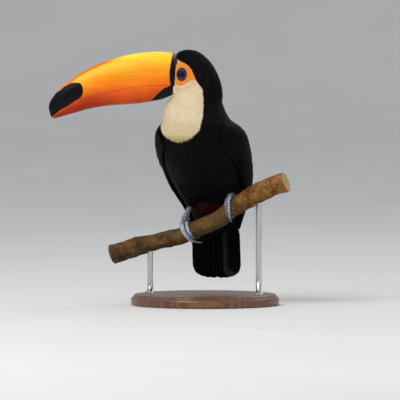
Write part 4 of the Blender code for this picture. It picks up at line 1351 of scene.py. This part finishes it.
for side, sign in (("left", 1), ("right", -1)):
    ball, from_axis = eye_ball(EYES[side], sign)
    eye = put_closed("eyeball_" + side, ball, eye_finish, {"from_axis": from_axis})
    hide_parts("eye_" + side)
    seat, share = eye_ring(EYES[side], sign)
    ring_faces = [grid_faces(*share.shape, wrap=True)[:, ::-1]]
    put_mesh("eye_ring_" + side, seat.reshape(-1, 3), ring_faces, ring_finish,
             {"share": share.ravel()})
    print("eye", side, "ring from y", seat[..., 1].min().round(1), "to", seat[..., 1].max().round(1))

# %% [markdown]
# ## Branch
# The perch is a living branch with thin, smooth bark that has lumps, leaf scars and fine cracks. A
# tube along the branch's line is made, and its radius is changed by smooth random lumps and a few
# knots. Under the feet it is left nearly true, so that the toes can follow it. Its sawn ends show
# pale wood with rings.

# %% Branch
BRANCH_LINE = np.array([  # x, y, z, radius
    (-132, 44, 70, 14), (-98, 33, 81, 13.6), (-65, 22.5, 90, 11.4), (-37, 13.3, 96.5, 12.2),
    (-11, 5, 108.3, 12.1), (20, -5.3, 122.8, 12.5), (37.5, -11, 137.2, 12.3),
    (48, -14.4, 143.2, 13.2), (65, -19.8, 153.8, 13.6), (84, -26, 164.5, 14.4),
    (114, -35.6, 176, 14.8),
])
KNOTS = [  # x, degrees round from the top, height, size
    (-112, 100, 2.0, 8), (-84, 60, 1.6, 6), (-71, 118, 2.2, 7), (-48, 25, 1.2, 5), (3, 70, 1.0, 4.5),
    (10, 128, 0.9, 4), (56, 30, 2.0, 6), (68, 95, 1.2, 5), (92, 40, 1.8, 7), (101, 110, 1.4, 5),
]
GRIPS = {"right": -22.5, "left": 38.0}  # the x of each foot
BARK_ROWS, BARK_SIDES = 460, 120
SAWN_RINGS = np.array([0.985, 0.965, 0.9, 0.8, 0.65, 0.5, 0.35, 0.2, 0.08])  # shares of the end's size
SAWN = len(SAWN_RINGS)
line = smooth_rows(BRANCH_LINE, np.linspace(0, len(BRANCH_LINE) - 1, BARK_ROWS))
bark = sweep(line[:, :3], line[:, 3], np.array([0, 0, 1.0]), BARK_SIDES)
flat = bark.reshape(-1, 3)
away = unit((bark - line[:, None, :3]).reshape(-1, 3))
along_x = flat * np.array([0.3, 1, 1])
lumps = 0.55 * waves(flat, 30, 201) + 0.3 * waves(flat, 11, 202) + 0.16 * waves(along_x, 3.6, 203)
cracks = np.maximum(0, 1 - 3.2 * np.abs(waves(flat * np.array([0.22, 1, 1]), 5.0, 204)))
cracks = cracks * ease(-0.3, 0.8, waves(flat, 22, 205))
wrinkles = np.maximum(0, 1 - 4.0 * np.abs(waves(flat * np.array([1, 0.3, 0.3]), 7.0, 206)))
wrinkles = wrinkles * ease(0.0, 1.0, waves(flat, 18, 207))
knots, scars = np.zeros(len(flat)), np.zeros(len(flat))
for x, turn, tall, size in KNOTS:
    row = int(np.argmin(np.abs(line[:, 0] - x)))
    spot = bark[row, int(turn / 360 * BARK_SIDES) % BARK_SIDES]
    far = np.linalg.norm(flat - spot, axis=-1) / size
    knots += tall * (np.exp(-(far**2)) - 0.75 * np.exp(-((far / 0.38) ** 2)))
    scars += np.exp(-((far / 0.55) ** 2)) - 0.5 * np.exp(-(((far - 1.05) / 0.16) ** 2))
grip = np.min([np.abs(flat[:, 0] - x) for x in GRIPS.values()], axis=0)
free = 0.12 + 0.88 * ease(9, 20, grip)
raised = (lumps + knots * free - 0.45 * cracks - 0.25 * wrinkles) * free - 0.25
bark = (flat + away * raised[:, None]).reshape(bark.shape)


def sawn_end(end, before):
    """The rings of a sawn face in the order of the tube's rows. They shrink to the middle and
    stand out by 0.35 mm, less at the rim, which leaves a small bevel."""
    shares = SAWN_RINGS[::-1] if end == 0 else SAWN_RINGS
    middle = bark[end].mean(0)
    out = 0.35 * np.clip(1 - shares, 0, 0.02) / 0.02
    outward = unit(line[end, :3] - line[before, :3])
    return middle + (bark[end] - middle) * shares[:, None, None] + outward * out[:, None, None]


def on_bark(numbers):
    """Numbers for the bark's points, with 0 on the sawn ends."""
    return np.pad(numbers.reshape(BARK_ROWS, BARK_SIDES), ((SAWN, SAWN), (0, 0)))


whole = np.concatenate([sawn_end(0, 1), bark, sawn_end(-1, -2)])
heart = np.pad(line[:, :3], ((SAWN, SAWN), (0, 0)), mode="edge")
cut = np.ones(whole.shape[:2])
cut[SAWN:-SAWN] = 0

bark_finish, tree, bsdf = new_finish("bark", 0.8, specular_ior_level=0.25)
here = place(tree)
patch = noise(tree, here, 42, 5, 0.62)
fine = noise(tree, place(tree, (0.35, 1, 1)), 420, 6, 0.65)
grit = noise(tree, here, 1500, 3, 0.6)
base = gradient(tree, patch, [
    (0.28, paint(66, 46, 24)), (0.42, paint(106, 82, 44)), (0.55, paint(128, 100, 54)),
    (0.68, paint(162, 114, 62)), (0.8, paint(120, 104, 62))])
rust = spread(tree, noise(tree, here, 78, 4), 0.52, 0.66)
rust = times(tree, rust, spread(tree, stored(tree, "centre"), 0, 1, 0.6, 0.1))
base = blend(tree, rust, base, paint(158, 94, 46))
dusk = spread(tree, noise(tree, here, 60, 5, 0.7), 0.42, 0.62)
dusk = times(tree, dusk, spread(tree, stored(tree, "centre"), 0, 1, 0.75, 0.1))
base = blend(tree, dusk, base, paint(62, 42, 22))
lichen = spread(tree, noise(tree, place(tree, (1, 1, 1.4)), 120, 3), 0.62, 0.7)
base = blend(tree, times(tree, lichen, 0.35), base, paint(142, 140, 104))
base = dimmed(tree, base, spread(tree, fine, 0.3, 0.7, 0.58, 1.25))
base = blend(tree, spread(tree, stored(tree, "crack"), 0.1, 0.9, 0.0, 0.8), base, paint(40, 28, 18))
base = blend(tree, spread(tree, stored(tree, "scar"), 0.1, 0.8, 0.0, 0.7), base, paint(58, 40, 26))
# painted light and shade: the bark is multiplied darker and cooler up to x = 18 mm and brighter and warmer
# past x = 62 mm, where the light falls on the branch's right end
warm = gradient(tree, stored(tree, "painted_light_share"), [
    (0.0, (0.58, 0.55, 0.5)), (0.3, (0.56, 0.53, 0.48)), (1.0, (1.6, 1.34, 1.08))])
base = blend(tree, 1.0, base, warm, "MULTIPLY")
radius = stored(tree, "heart")
wobble = plus(tree, radius, times(tree, noise(tree, here, 160, 2), 1.4))
year = calc(tree, "SINE", times(tree, wobble, 4.2))
wood = gradient(tree, spread(tree, year, -1, 1), [
    (0.0, paint(150, 112, 66)), (0.6, paint(204, 170, 116)), (1.0, paint(222, 190, 136))])
wood = blend(tree, spread(tree, radius, 3.5, 0.5), wood, paint(120, 82, 46))
saw = noise(tree, place(tree, (1, 1, 9)), 300, 2)
wood = blend(tree, spread(tree, saw, 0.5, 0.75, 0.0, 0.25), wood, paint(120, 92, 58))
sawn = spread(tree, stored(tree, "cut"), 0.4, 0.6)
tall = plus(tree, fine, times(tree, grit, 0.35))
link(tree, bsdf, Base_Color=blend(tree, sawn, base, wood),
     Roughness=spread(tree, fine, 0.3, 0.7, 0.68, 0.9),
     Normal=relief(tree, blend(tree, sawn, tall, times(tree, saw, 0.6)), 0.7))
branch = put_closed("branch_bark", whole, bark_finish, {
    "crack": on_bark(cracks + 0.6 * wrinkles), "scar": on_bark(scars),
    "centre": on_bark(ease(-52, -30, flat[:, 0]) * ease(48, 30, flat[:, 0])), "cut": cut,
    "heart": np.linalg.norm(whole - heart[:, None], axis=-1),
    "painted_light_share": on_bark(ease(18, 62, flat[:, 0]))})
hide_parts("perch_branch")
print("branch", len(branch.data.polygons), "faces")
print("bark raised from", raised.min().round(2), "to", raised.max().round(2), "mm")

# %% [markdown]
# ## Feet
# A toucan has two toes in front and two behind, and its grip wraps right round the branch. Each
# toe is a tube whose rings follow the branch at a small gap. Over its back run scutes, broad
# overlapping plates: the radius rises slowly along each plate and drops at its end. The claws are
# separate horns.

# %% Feet
TOE_GAP = 0.3
GRIP_CHORD = 16.0  # a foot's plane is square to the branch's run over this far each way
# Which way is outwards; the drift along the branch at the top, how much more of it there is at
# the underside, and the power it grows by; the heel; the ankle.
FEET = {
    "right": (-1, (0.65, 7.6, 3), (-28.5, 4, 122), (-20.5, 6, 141)),
    "left": (1, (9.2, -24, 1), (36.5, -14, 154), (34.5, -10.5, 163)),
}
# The share of their width that the toes keep at the tip, the share of their full turn, and half
# the spread between them at root and tip.
STANCE = {"right": (0.92, 1.0, (3.75, 2.8)), "left": (0.45, 0.9, (4.2, 1.6))}
TOES = {"front": (94.0, -70.0), "back": (86.0, 206.0)}  # where they start and end round the branch
RANKS = {"outer": (1.0, 1.04), "inner": (0.8, 0.86)}  # share of that turn, and of the thickness
INNER_FRONT = 0.92  # the inner front toe is shorter still
NECK_ROWS = 11  # rings of a front toe between the heel and the branch
CLAW_SLIDE = {"right": {"outer": 6.5, "inner": 1}, "left": {"outer": 3, "inner": 1}}  # along it
CLAW_FREE = {("right", "front", "outer"): 6.5}  # this claw's point stands off the bark
CLAW_SEAT = 5.5  # degrees of claw that are let into its toe
CLAW_TURN = 34  # degrees of the branch that a claw reaches over
CLAW_LIFT = [(2.9, 1.9), (3.6, 1.9), (3.9, 1.55), (3.5, 1.05), (2.3, 0.35)]  # lift, radius
PLATE, SHANK_PLATE = 3.9, 4.3  # length of a scute on the toes and on the shank


def shade_side(rings):
    """How far aside each point of a tube is, from -1 towards the bill to 1 away from it. It is used to paint
    shade on one side of the shank and the toes.
    """
    aside = rings[..., 0] - rings[..., 0].mean(1, keepdims=True)
    return aside / np.abs(aside).max(1, keepdims=True)


def branch_at(x):
    """Middle and radius of the branch at each x, in one row: x, y, z, radius."""
    return np.stack([np.interp(x, line[:, 0], line[:, k]) for k in range(4)], -1)


def grip_at(side):
    """How a foot holds the branch: x, direction, up, towards the front, and drift."""
    x = GRIPS[side]
    along = unit(branch_at(x + GRIP_CHORD)[:3] - branch_at(x - GRIP_CHORD)[:3])
    up = unit(np.array([0, 0, 1.0]) - along * along[2])
    before = np.cross(along, up)
    before = before if before[1] < 0 else -before
    return x, along, up, before, FEET[side][1]


def round_branch(grip, angle, lift, shift):
    """A point round the branch: 0 degrees faces the front and 90 is the top. It drifts along the
    branch by the drift at the top plus the rest times k^p, with k the share of the turn from the
    top to the underside and p the power."""
    x, along, up, before, drift = grip
    moved = shift + drift[0] + drift[1] * np.clip(np.abs(90 - angle) / 180, 0, 1) ** drift[2]
    here = branch_at(x + along[0] * moved)
    a = np.radians(angle)
    spoke = np.cos(a)[:, None] * before + np.sin(a)[:, None] * up
    return here[:, :3] + spoke * (here[:, 3] + lift)[:, None], spoke


def plated_tube(path, radii, back, plate, sides, tall, pads):
    """A tube with scutes over its back and low pads under it, rounded off at both ends.

    With s the distance along and k the share of the way along a plate, the radius is raised by
    tall·(k - k^20) times the cosine from the back, stretched by 1.15 and held to 1, and by pads
    times the cosine from underneath and the square of a sine of s. Returns the rings, s and how
    far round to the back each point is.
    """
    s = np.concatenate([[0], np.cumsum(np.linalg.norm(np.diff(path, axis=0), axis=-1))])[:, None]
    a = turns(sides)[None]
    top = np.clip(np.cos(a) * 1.15, 0, 1)
    k = ((s + 0.35 * np.sin(s * 0.83)) / plate) % 1
    under = np.clip(-np.cos(a), 0, 1)
    round_off = np.sqrt(np.clip(1 - (np.clip(s - s[-1] + 2.2, 0, 2.2) / 2.25) ** 2, 0.02, 1))
    start = np.sqrt(np.clip(1 - (np.clip(1.6 - s, 0, 1.6) / 1.65) ** 2, 0.02, 1))
    swell = radii[:, None] + tall * (k - k**20) * top + pads * under * np.sin(s * 0.9) ** 2
    return sweep(path, swell * round_off * start, back, sides), s + 0 * a, np.cos(a) + 0 * s


def shank(grip, sole, heel, ankle):
    """The foot and shank in one tube from the ankle down to the branch, and how much painted shade it takes:
    most at the top and on the side away from the bill.
    """
    top = ankle + unit(ankle - heel) * 3.0
    middles = np.array([sole + 1.2 * grip[2], sole * 0.4 + heel * 0.6, heel, (heel + top) / 2, top])
    at = np.linspace(0, 4, 90)
    path, radii = smooth_rows(middles, at), np.interp(at, range(5), (5.3, 5.9, 5.3, 3.9, 3.4))
    tube = plated_tube(path[::-1], radii[::-1], grip[3], SHANK_PLATE, 36, 0.18, 0.1)
    # painted shade: darkest at the top and on the side away from the bill
    return tube, np.linspace(1, 0.75, 90)[:, None] + 0 * tube[1] + 0.39 * shade_side(tube[0])


def toe(side, pair, rank, grip, sole, heel):
    """One toe's tube, how dark it is, and where its claw goes: the angle, the shift and the size.

    The back toes start on top of the branch. The front ones come down from the heel in a neck that is
    smoothed into the rest. Each toe carries painted shade: the front ones are shaded at the root and the back
    ones all along, every toe is painted paler on its outer side, and the left foot's inner toes are shaded
    the most.
    """
    (start, end), (share, big), (slim, reach, spans) = TOES[pair], RANKS[rank], STANCE[side]
    outer = FEET[side][0]
    sign = outer if rank == "outer" else -outer
    shorter = INNER_FRONT if (pair, rank) == ("front", "inner") else 1.0
    last = start + (end - start) * share * shorter * reach
    angles = np.linspace(start, last, int(abs(last - start) * 0.62))
    t = np.linspace(0, 1, len(angles))
    radii = (3.7 - 0.8 * t - 0.15) * (1 - (1 - slim) * t) * big + 0.14 * np.sin(t * 9.4) ** 2
    offset = sign * (spans[0] + (spans[1] - spans[0]) * t)
    path, spoke = round_branch(grip, angles, TOE_GAP + radii, offset)
    if pair == "front":
        rise = np.linspace(1, 0, NECK_ROWS + 1)[:-1, None]
        onto = (heel * 0.75 + sole * 0.25 - sole) * rise**1.3 + sign * 1.9 * (1 - rise) * grip[1]
        neck = sole + onto + grip[3] * 1.8 + sign * 1.9 * grip[1]
        path = np.concatenate([neck, path[3:]])
        for _ in range(3):
            path[1:-1] = (path[:-2] + 2 * path[1:-1] + path[2:]) / 4
        radii = np.concatenate([np.linspace(2.4, radii[3], NECK_ROWS + 1)[:-1], radii[3:]])
        facing = np.repeat(spoke[3:4] * 0.3 + grip[3] * 0.7, NECK_ROWS, 0)
        spoke = np.concatenate([facing, spoke[3:]])
    tube = plated_tube(path, radii, spoke, PLATE, 32, 0.13, 0.0)
    # painted shade: front toes shaded near the root, back toes all along, each toe paler on its outer side,
    # and the left foot's inner toes shaded most
    dark = 0.8 * ease(15, 3, tube[1]) if pair == "front" else 0.8 + 0 * tube[1]
    dark = dark + 0.3 * -outer * shade_side(tube[0]) + (0.6 if (side, rank) == ("left", "inner") else 0.08)
    return tube, dark, (last, offset[-1], radii[-1])


def claw(side, pair, rank, grip, seat):
    """A curved horn that goes on round the branch from its toe, and the share of its length.

    Its section is a little flattened from the sides and flatter underneath, and its root is
    drawn in to lie inside the toe.
    """
    last, shift, size = seat
    t = np.linspace(0, 1, 40)
    lift, thick = smooth_rows(CLAW_LIFT, t * (len(CLAW_LIFT) - 1)).T
    thick = thick * min(1.0, 1.05 * size / CLAW_LIFT[0][1])
    lift = lift + CLAW_FREE.get((side, pair, rank), 0) * t**1.4
    angle = last + math.copysign(1, TOES[pair][1] - TOES[pair][0]) * (CLAW_TURN * t - CLAW_SEAT)
    path, spoke = round_branch(grip, angle, lift, shift + t**1.3 * CLAW_SLIDE[side][rank])
    a = turns(20)
    section = thick[:, None] * (0.86 + 0.14 * np.cos(2 * a)) * (1 - 0.12 * (np.cos(a) < -0.5))
    section[0] *= 0.4
    return sweep(path, section, spoke, 20), np.repeat(t[:, None], 20, 1)


foot_finish, tree, bsdf = new_finish("scutes", 0.5, specular_ior_level=0.5)
run = plus(tree, stored(tree, "run"), times(tree, noise(tree, place(tree), 500, 2), 0.8))
phase = calc(tree, "FRACT", calc(tree, "DIVIDE", run, stored(tree, "plate")))
back_share = stored(tree, "back")
mottle = noise(tree, place(tree), 260, 4, 0.6)
grain = node(tree, "TexVoronoi", {"Vector": place(tree), "Scale": 1300}).outputs["Distance"]
patchy = noise(tree, place(tree), 520, 3, 0.6)
blue = gradient(tree, mottle, [
    (0.3, paint(44, 54, 72)), (0.5, paint(84, 98, 116)), (0.7, paint(128, 140, 150))])
pale = times(tree, spread(tree, phase, 0.1, 0.7, 0.55, 1.0), spread(tree, back_share, -0.1, 0.5))
pale = times(tree, pale, spread(tree, patchy, 0.38, 0.6, 0.1, 0.9))
blue = blend(tree, pale, blue, paint(216, 216, 226))
gap = times(tree, spread(tree, phase, 0.12, 0.0), spread(tree, back_share, -0.5, 0.3, 0.15, 0.42))
blue = blend(tree, gap, blue, paint(50, 54, 74))
blue = blend(tree, spread(tree, back_share, -0.2, -0.9, 0.0, 0.6), blue, paint(92, 88, 96))
# painted shade: where the stored shade is high, the feet turn to a dark mottled blue-grey
dark = blend(tree, spread(tree, patchy, 0.45, 0.6), paint(32, 30, 42), paint(92, 90, 108))
blue = blend(tree, spread(tree, stored(tree, "shaded"), 0.05, 1.0, 0.0, 0.9, False), blue, dark)
link(tree, bsdf, Base_Color=blue, Roughness=spread(tree, mottle, 0.3, 0.7, 0.4, 0.6),
     Normal=relief(tree, calc(tree, "SUBTRACT", mottle, times(tree, grain, 0.6)), 0.3))

claw_finish, tree, bsdf = new_finish(
    "claw_horn", 0.3, specular_ior_level=0.55, coat_weight=0.2, coat_roughness=0.2)
streak = noise(tree, place(tree, (1, 0.3, 1)), 900, 4)
horn = gradient(tree, streak, [(0.3, paint(76, 80, 88)), (0.7, paint(118, 122, 128))])
horn = blend(tree, spread(tree, stored(tree, "run"), 0.55, 1.0, 0.0, 0.8), horn, paint(60, 60, 66))
link(tree, bsdf, Base_Color=horn, Roughness=spread(tree, streak, 0.3, 0.7, 0.24, 0.4),
     Normal=relief(tree, streak, 0.1))

for side, (_, _, heel, ankle) in FEET.items():
    grip = grip_at(side)
    heel, ankle = np.array(heel, float), np.array(ankle, float)
    sole = round_branch(grip, np.array([90.0]), np.array([TOE_GAP]), 0.0)[0][0]
    tube, dark = shank(grip, sole, heel, ankle)
    parts = [(*tube, np.full(dark.shape, SHANK_PLATE), np.clip(dark, 0, 1))]
    for pair in TOES:
        for rank in RANKS:
            tube, dark, seat = toe(side, pair, rank, grip, sole, heel)
            parts.append((*tube, np.full(dark.shape, PLATE), np.clip(dark, 0, 1)))
            horn, share = claw(side, pair, rank, grip, seat)
            made = put_closed(f"claw_horn_{side}_{pair}_{rank}", horn, claw_finish,
                              {"run": share})
            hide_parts(f"claw_{side}_{pair}_{rank}")
    points, faces = joined([p[0] for p in parts])
    numbers = {name: np.concatenate([with_ends(p[k]) for p in parts])
               for k, name in enumerate(("run", "back", "plate", "shaded"), 1)}
    foot = put_mesh("foot_skin_" + side, points, faces, foot_finish, numbers)
    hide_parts("foot_" + side)
    print("foot", side, len(foot.data.polygons), "faces")

# %% [markdown]
# ## Display stand
# The stand is plain, so that it doesn't draw the eye: a turned walnut disc and two polished steel
# rods with small collars. Each is a profile turned round an upright axis, as on a lathe.

# %% Stand
DISC = [  # radius and height
    (0.5, 16), (96, 16), (99.5, 15.6), (101.2, 14.2), (101.6, 12.6), (102.6, 11.6), (104.2, 10.9),
    (105, 9.6), (105, 2.0), (103.8, 0.6), (103, 0), (0.5, 0),
]
COLLAR = [  # the rod's foot, from above its collar to inside the disc
    (4, 19.2), (6.2, 19.0), (7.2, 18.2), (7.4, 16.6), (7.4, 15.9), (4, 15.8), (4, 7.4), (0.3, 7),
]
RODS = {"low": -78.0, "high": 76.0}  # the x of each rod
TURNED_STEPS = 6  # rings from each row of a profile to the next


def turned(profile, centre, sides):
    """A profile of radius and height, from the top down, turned about an upright axis. Corners
    are kept by steps straight between the rows."""
    rows = np.asarray(profile, float)
    at = np.linspace(0, len(rows) - 1, (len(rows) - 1) * TURNED_STEPS + 1)
    r, z = (np.interp(at, range(len(rows)), rows[:, k])[:, None] for k in (0, 1))
    a = turns(sides)[None]
    return np.stack([r * np.cos(a), r * np.sin(a), z + 0 * a], -1) + np.array([*centre, 0.0])


wood_finish, tree, bsdf = new_finish("walnut", 0.36, coat_weight=0.25, coat_roughness=0.25)
growth = {"Vector": place(tree, (1.0, 7.0, 1.0)), "Scale": 8.0, "Distortion": 9.0, "Detail": 4.0,
          "Detail Scale": 1.6}
grown = node(tree, "TexWave", growth, bands_direction="Y").outputs["Fac"]
pores = noise(tree, place(tree, (14, 260, 260)), 1.0, 4, 0.7)
wood = gradient(tree, grown, [(0.0, paint(92, 58, 36)), (0.5, paint(108, 70, 44)), (1.0, paint(122, 82, 54))])
wood = blend(tree, spread(tree, pores, 0.5, 0.68, 0.0, 0.6), wood, paint(52, 32, 20))
link(tree, bsdf, Base_Color=wood, Normal=relief(tree, pores, 0.12),
     Roughness=spread(tree, pores, 0.3, 0.7, 0.3, 0.48))
steel_finish, tree, bsdf = new_finish("steel", 0.25, metallic=1.0)
brushed = noise(tree, place(tree, (900, 900, 14)), 1.0, 3)
link(tree, bsdf, Base_Color=gradient(tree, brushed, [(0.3, (0.52, 0.53, 0.55)), (0.7, (0.66, 0.67, 0.68))]),
     Roughness=spread(tree, brushed, 0.3, 0.7, 0.18, 0.34), Normal=relief(tree, brushed, 0.03))
base = put_closed("stand_base_turned", turned(DISC, (0, 0), 160), wood_finish)
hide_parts("stand_base")
for end, x in RODS.items():
    row = int(np.argmin(np.abs(line[:, 0] - x)))
    y, top = line[row, 1], line[row, 2]
    rod = turned([(0.3, top), (3.7, top), (4, top - 0.5), *COLLAR], (x, y), 48)
    made = put_closed(f"stand_rod_{end}_steel", rod, steel_finish)
    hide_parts("stand_rod_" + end)

# %% [markdown]
# ## Studio
# Black feathers only show their shape by what they reflect, so the lights are broad and soft: one
# large key above and to the left, a weak fill from the right, and a weaker light from behind for
# the outline of the back. The pale floor turns up into a wall far away on all sides.

# %% Studio
FLOOR_SIDES = 96
floor_finish, tree, bsdf = new_finish("studio_floor", 0.9)
grain = noise(tree, place(tree), 3, 2)
link(tree, bsdf, Base_Color=gradient(tree, grain, [(0.3, (0.77, 0.77, 0.76)), (0.7, (0.8, 0.8, 0.79))]))
bend = np.linspace(0, math.pi / 2, 40)
bowl = np.stack([9500 + 3500 * np.sin(bend), 3500 * (1 - np.cos(bend))], -1)
swept = np.concatenate([np.linspace((0, 0), (9000, 0), 20)[1:], bowl, [(13000, 7000)]])
a = turns(FLOOR_SIDES)
out, up = swept[:, :1], swept[:, 1:]
rows = np.stack([out * np.cos(a), out * np.sin(a), np.repeat(up, FLOOR_SIDES, 1)], -1)
first = np.arange(FLOOR_SIDES)
fan = np.stack([first, (first + 1) % FLOOR_SIDES, np.full(FLOOR_SIDES, rows[..., 0].size)], -1)
mesh = bpy.data.meshes.new("floor")
mesh.from_pydata((np.concatenate([rows.reshape(-1, 3), np.zeros((1, 3))]) * MM).tolist(), [],
                 grid_faces(*rows.shape[:2], wrap=True).tolist() + fan.tolist())
mesh.polygons.foreach_set("use_smooth", np.full(len(mesh.polygons), True))
mesh.materials.append(floor_finish)
floor = bpy.data.objects.new("floor", mesh)
bpy.context.scene.collection.objects.link(floor)

world = bpy.data.worlds.new("soft_room")
world.use_nodes = True
sky = world.node_tree.nodes["Background"].inputs
sky["Color"].default_value, sky["Strength"].default_value = (0.93, 0.96, 1.0, 1), 0.6
bpy.context.scene.world = world
bpy.context.scene.view_settings.view_transform = "Standard"


def lamp(name, power, size, spot, colour):
    """A square light of this size in metres at a spot, turned to the bird."""
    data = bpy.data.lights.new(name, "AREA")
    data.energy, data.size, data.color = power, size, colour
    made = bpy.data.objects.new(name, data)
    made.location = spot
    made.rotation_euler = (Vector((0, 0, 0.22)) - Vector(spot)).to_track_quat("-Z", "Y").to_euler()
    bpy.context.scene.collection.objects.link(made)


lamp("key", 52, 1.3, (-1.3, -1.7, 2.3), (1.0, 0.97, 0.92))
lamp("fill", 8, 1.6, (2.2, -1.6, 0.9), (0.92, 0.96, 1.0))
lamp("rim", 4, 0.9, (1.2, 1.6, 1.7), (1.0, 1.0, 1.0))
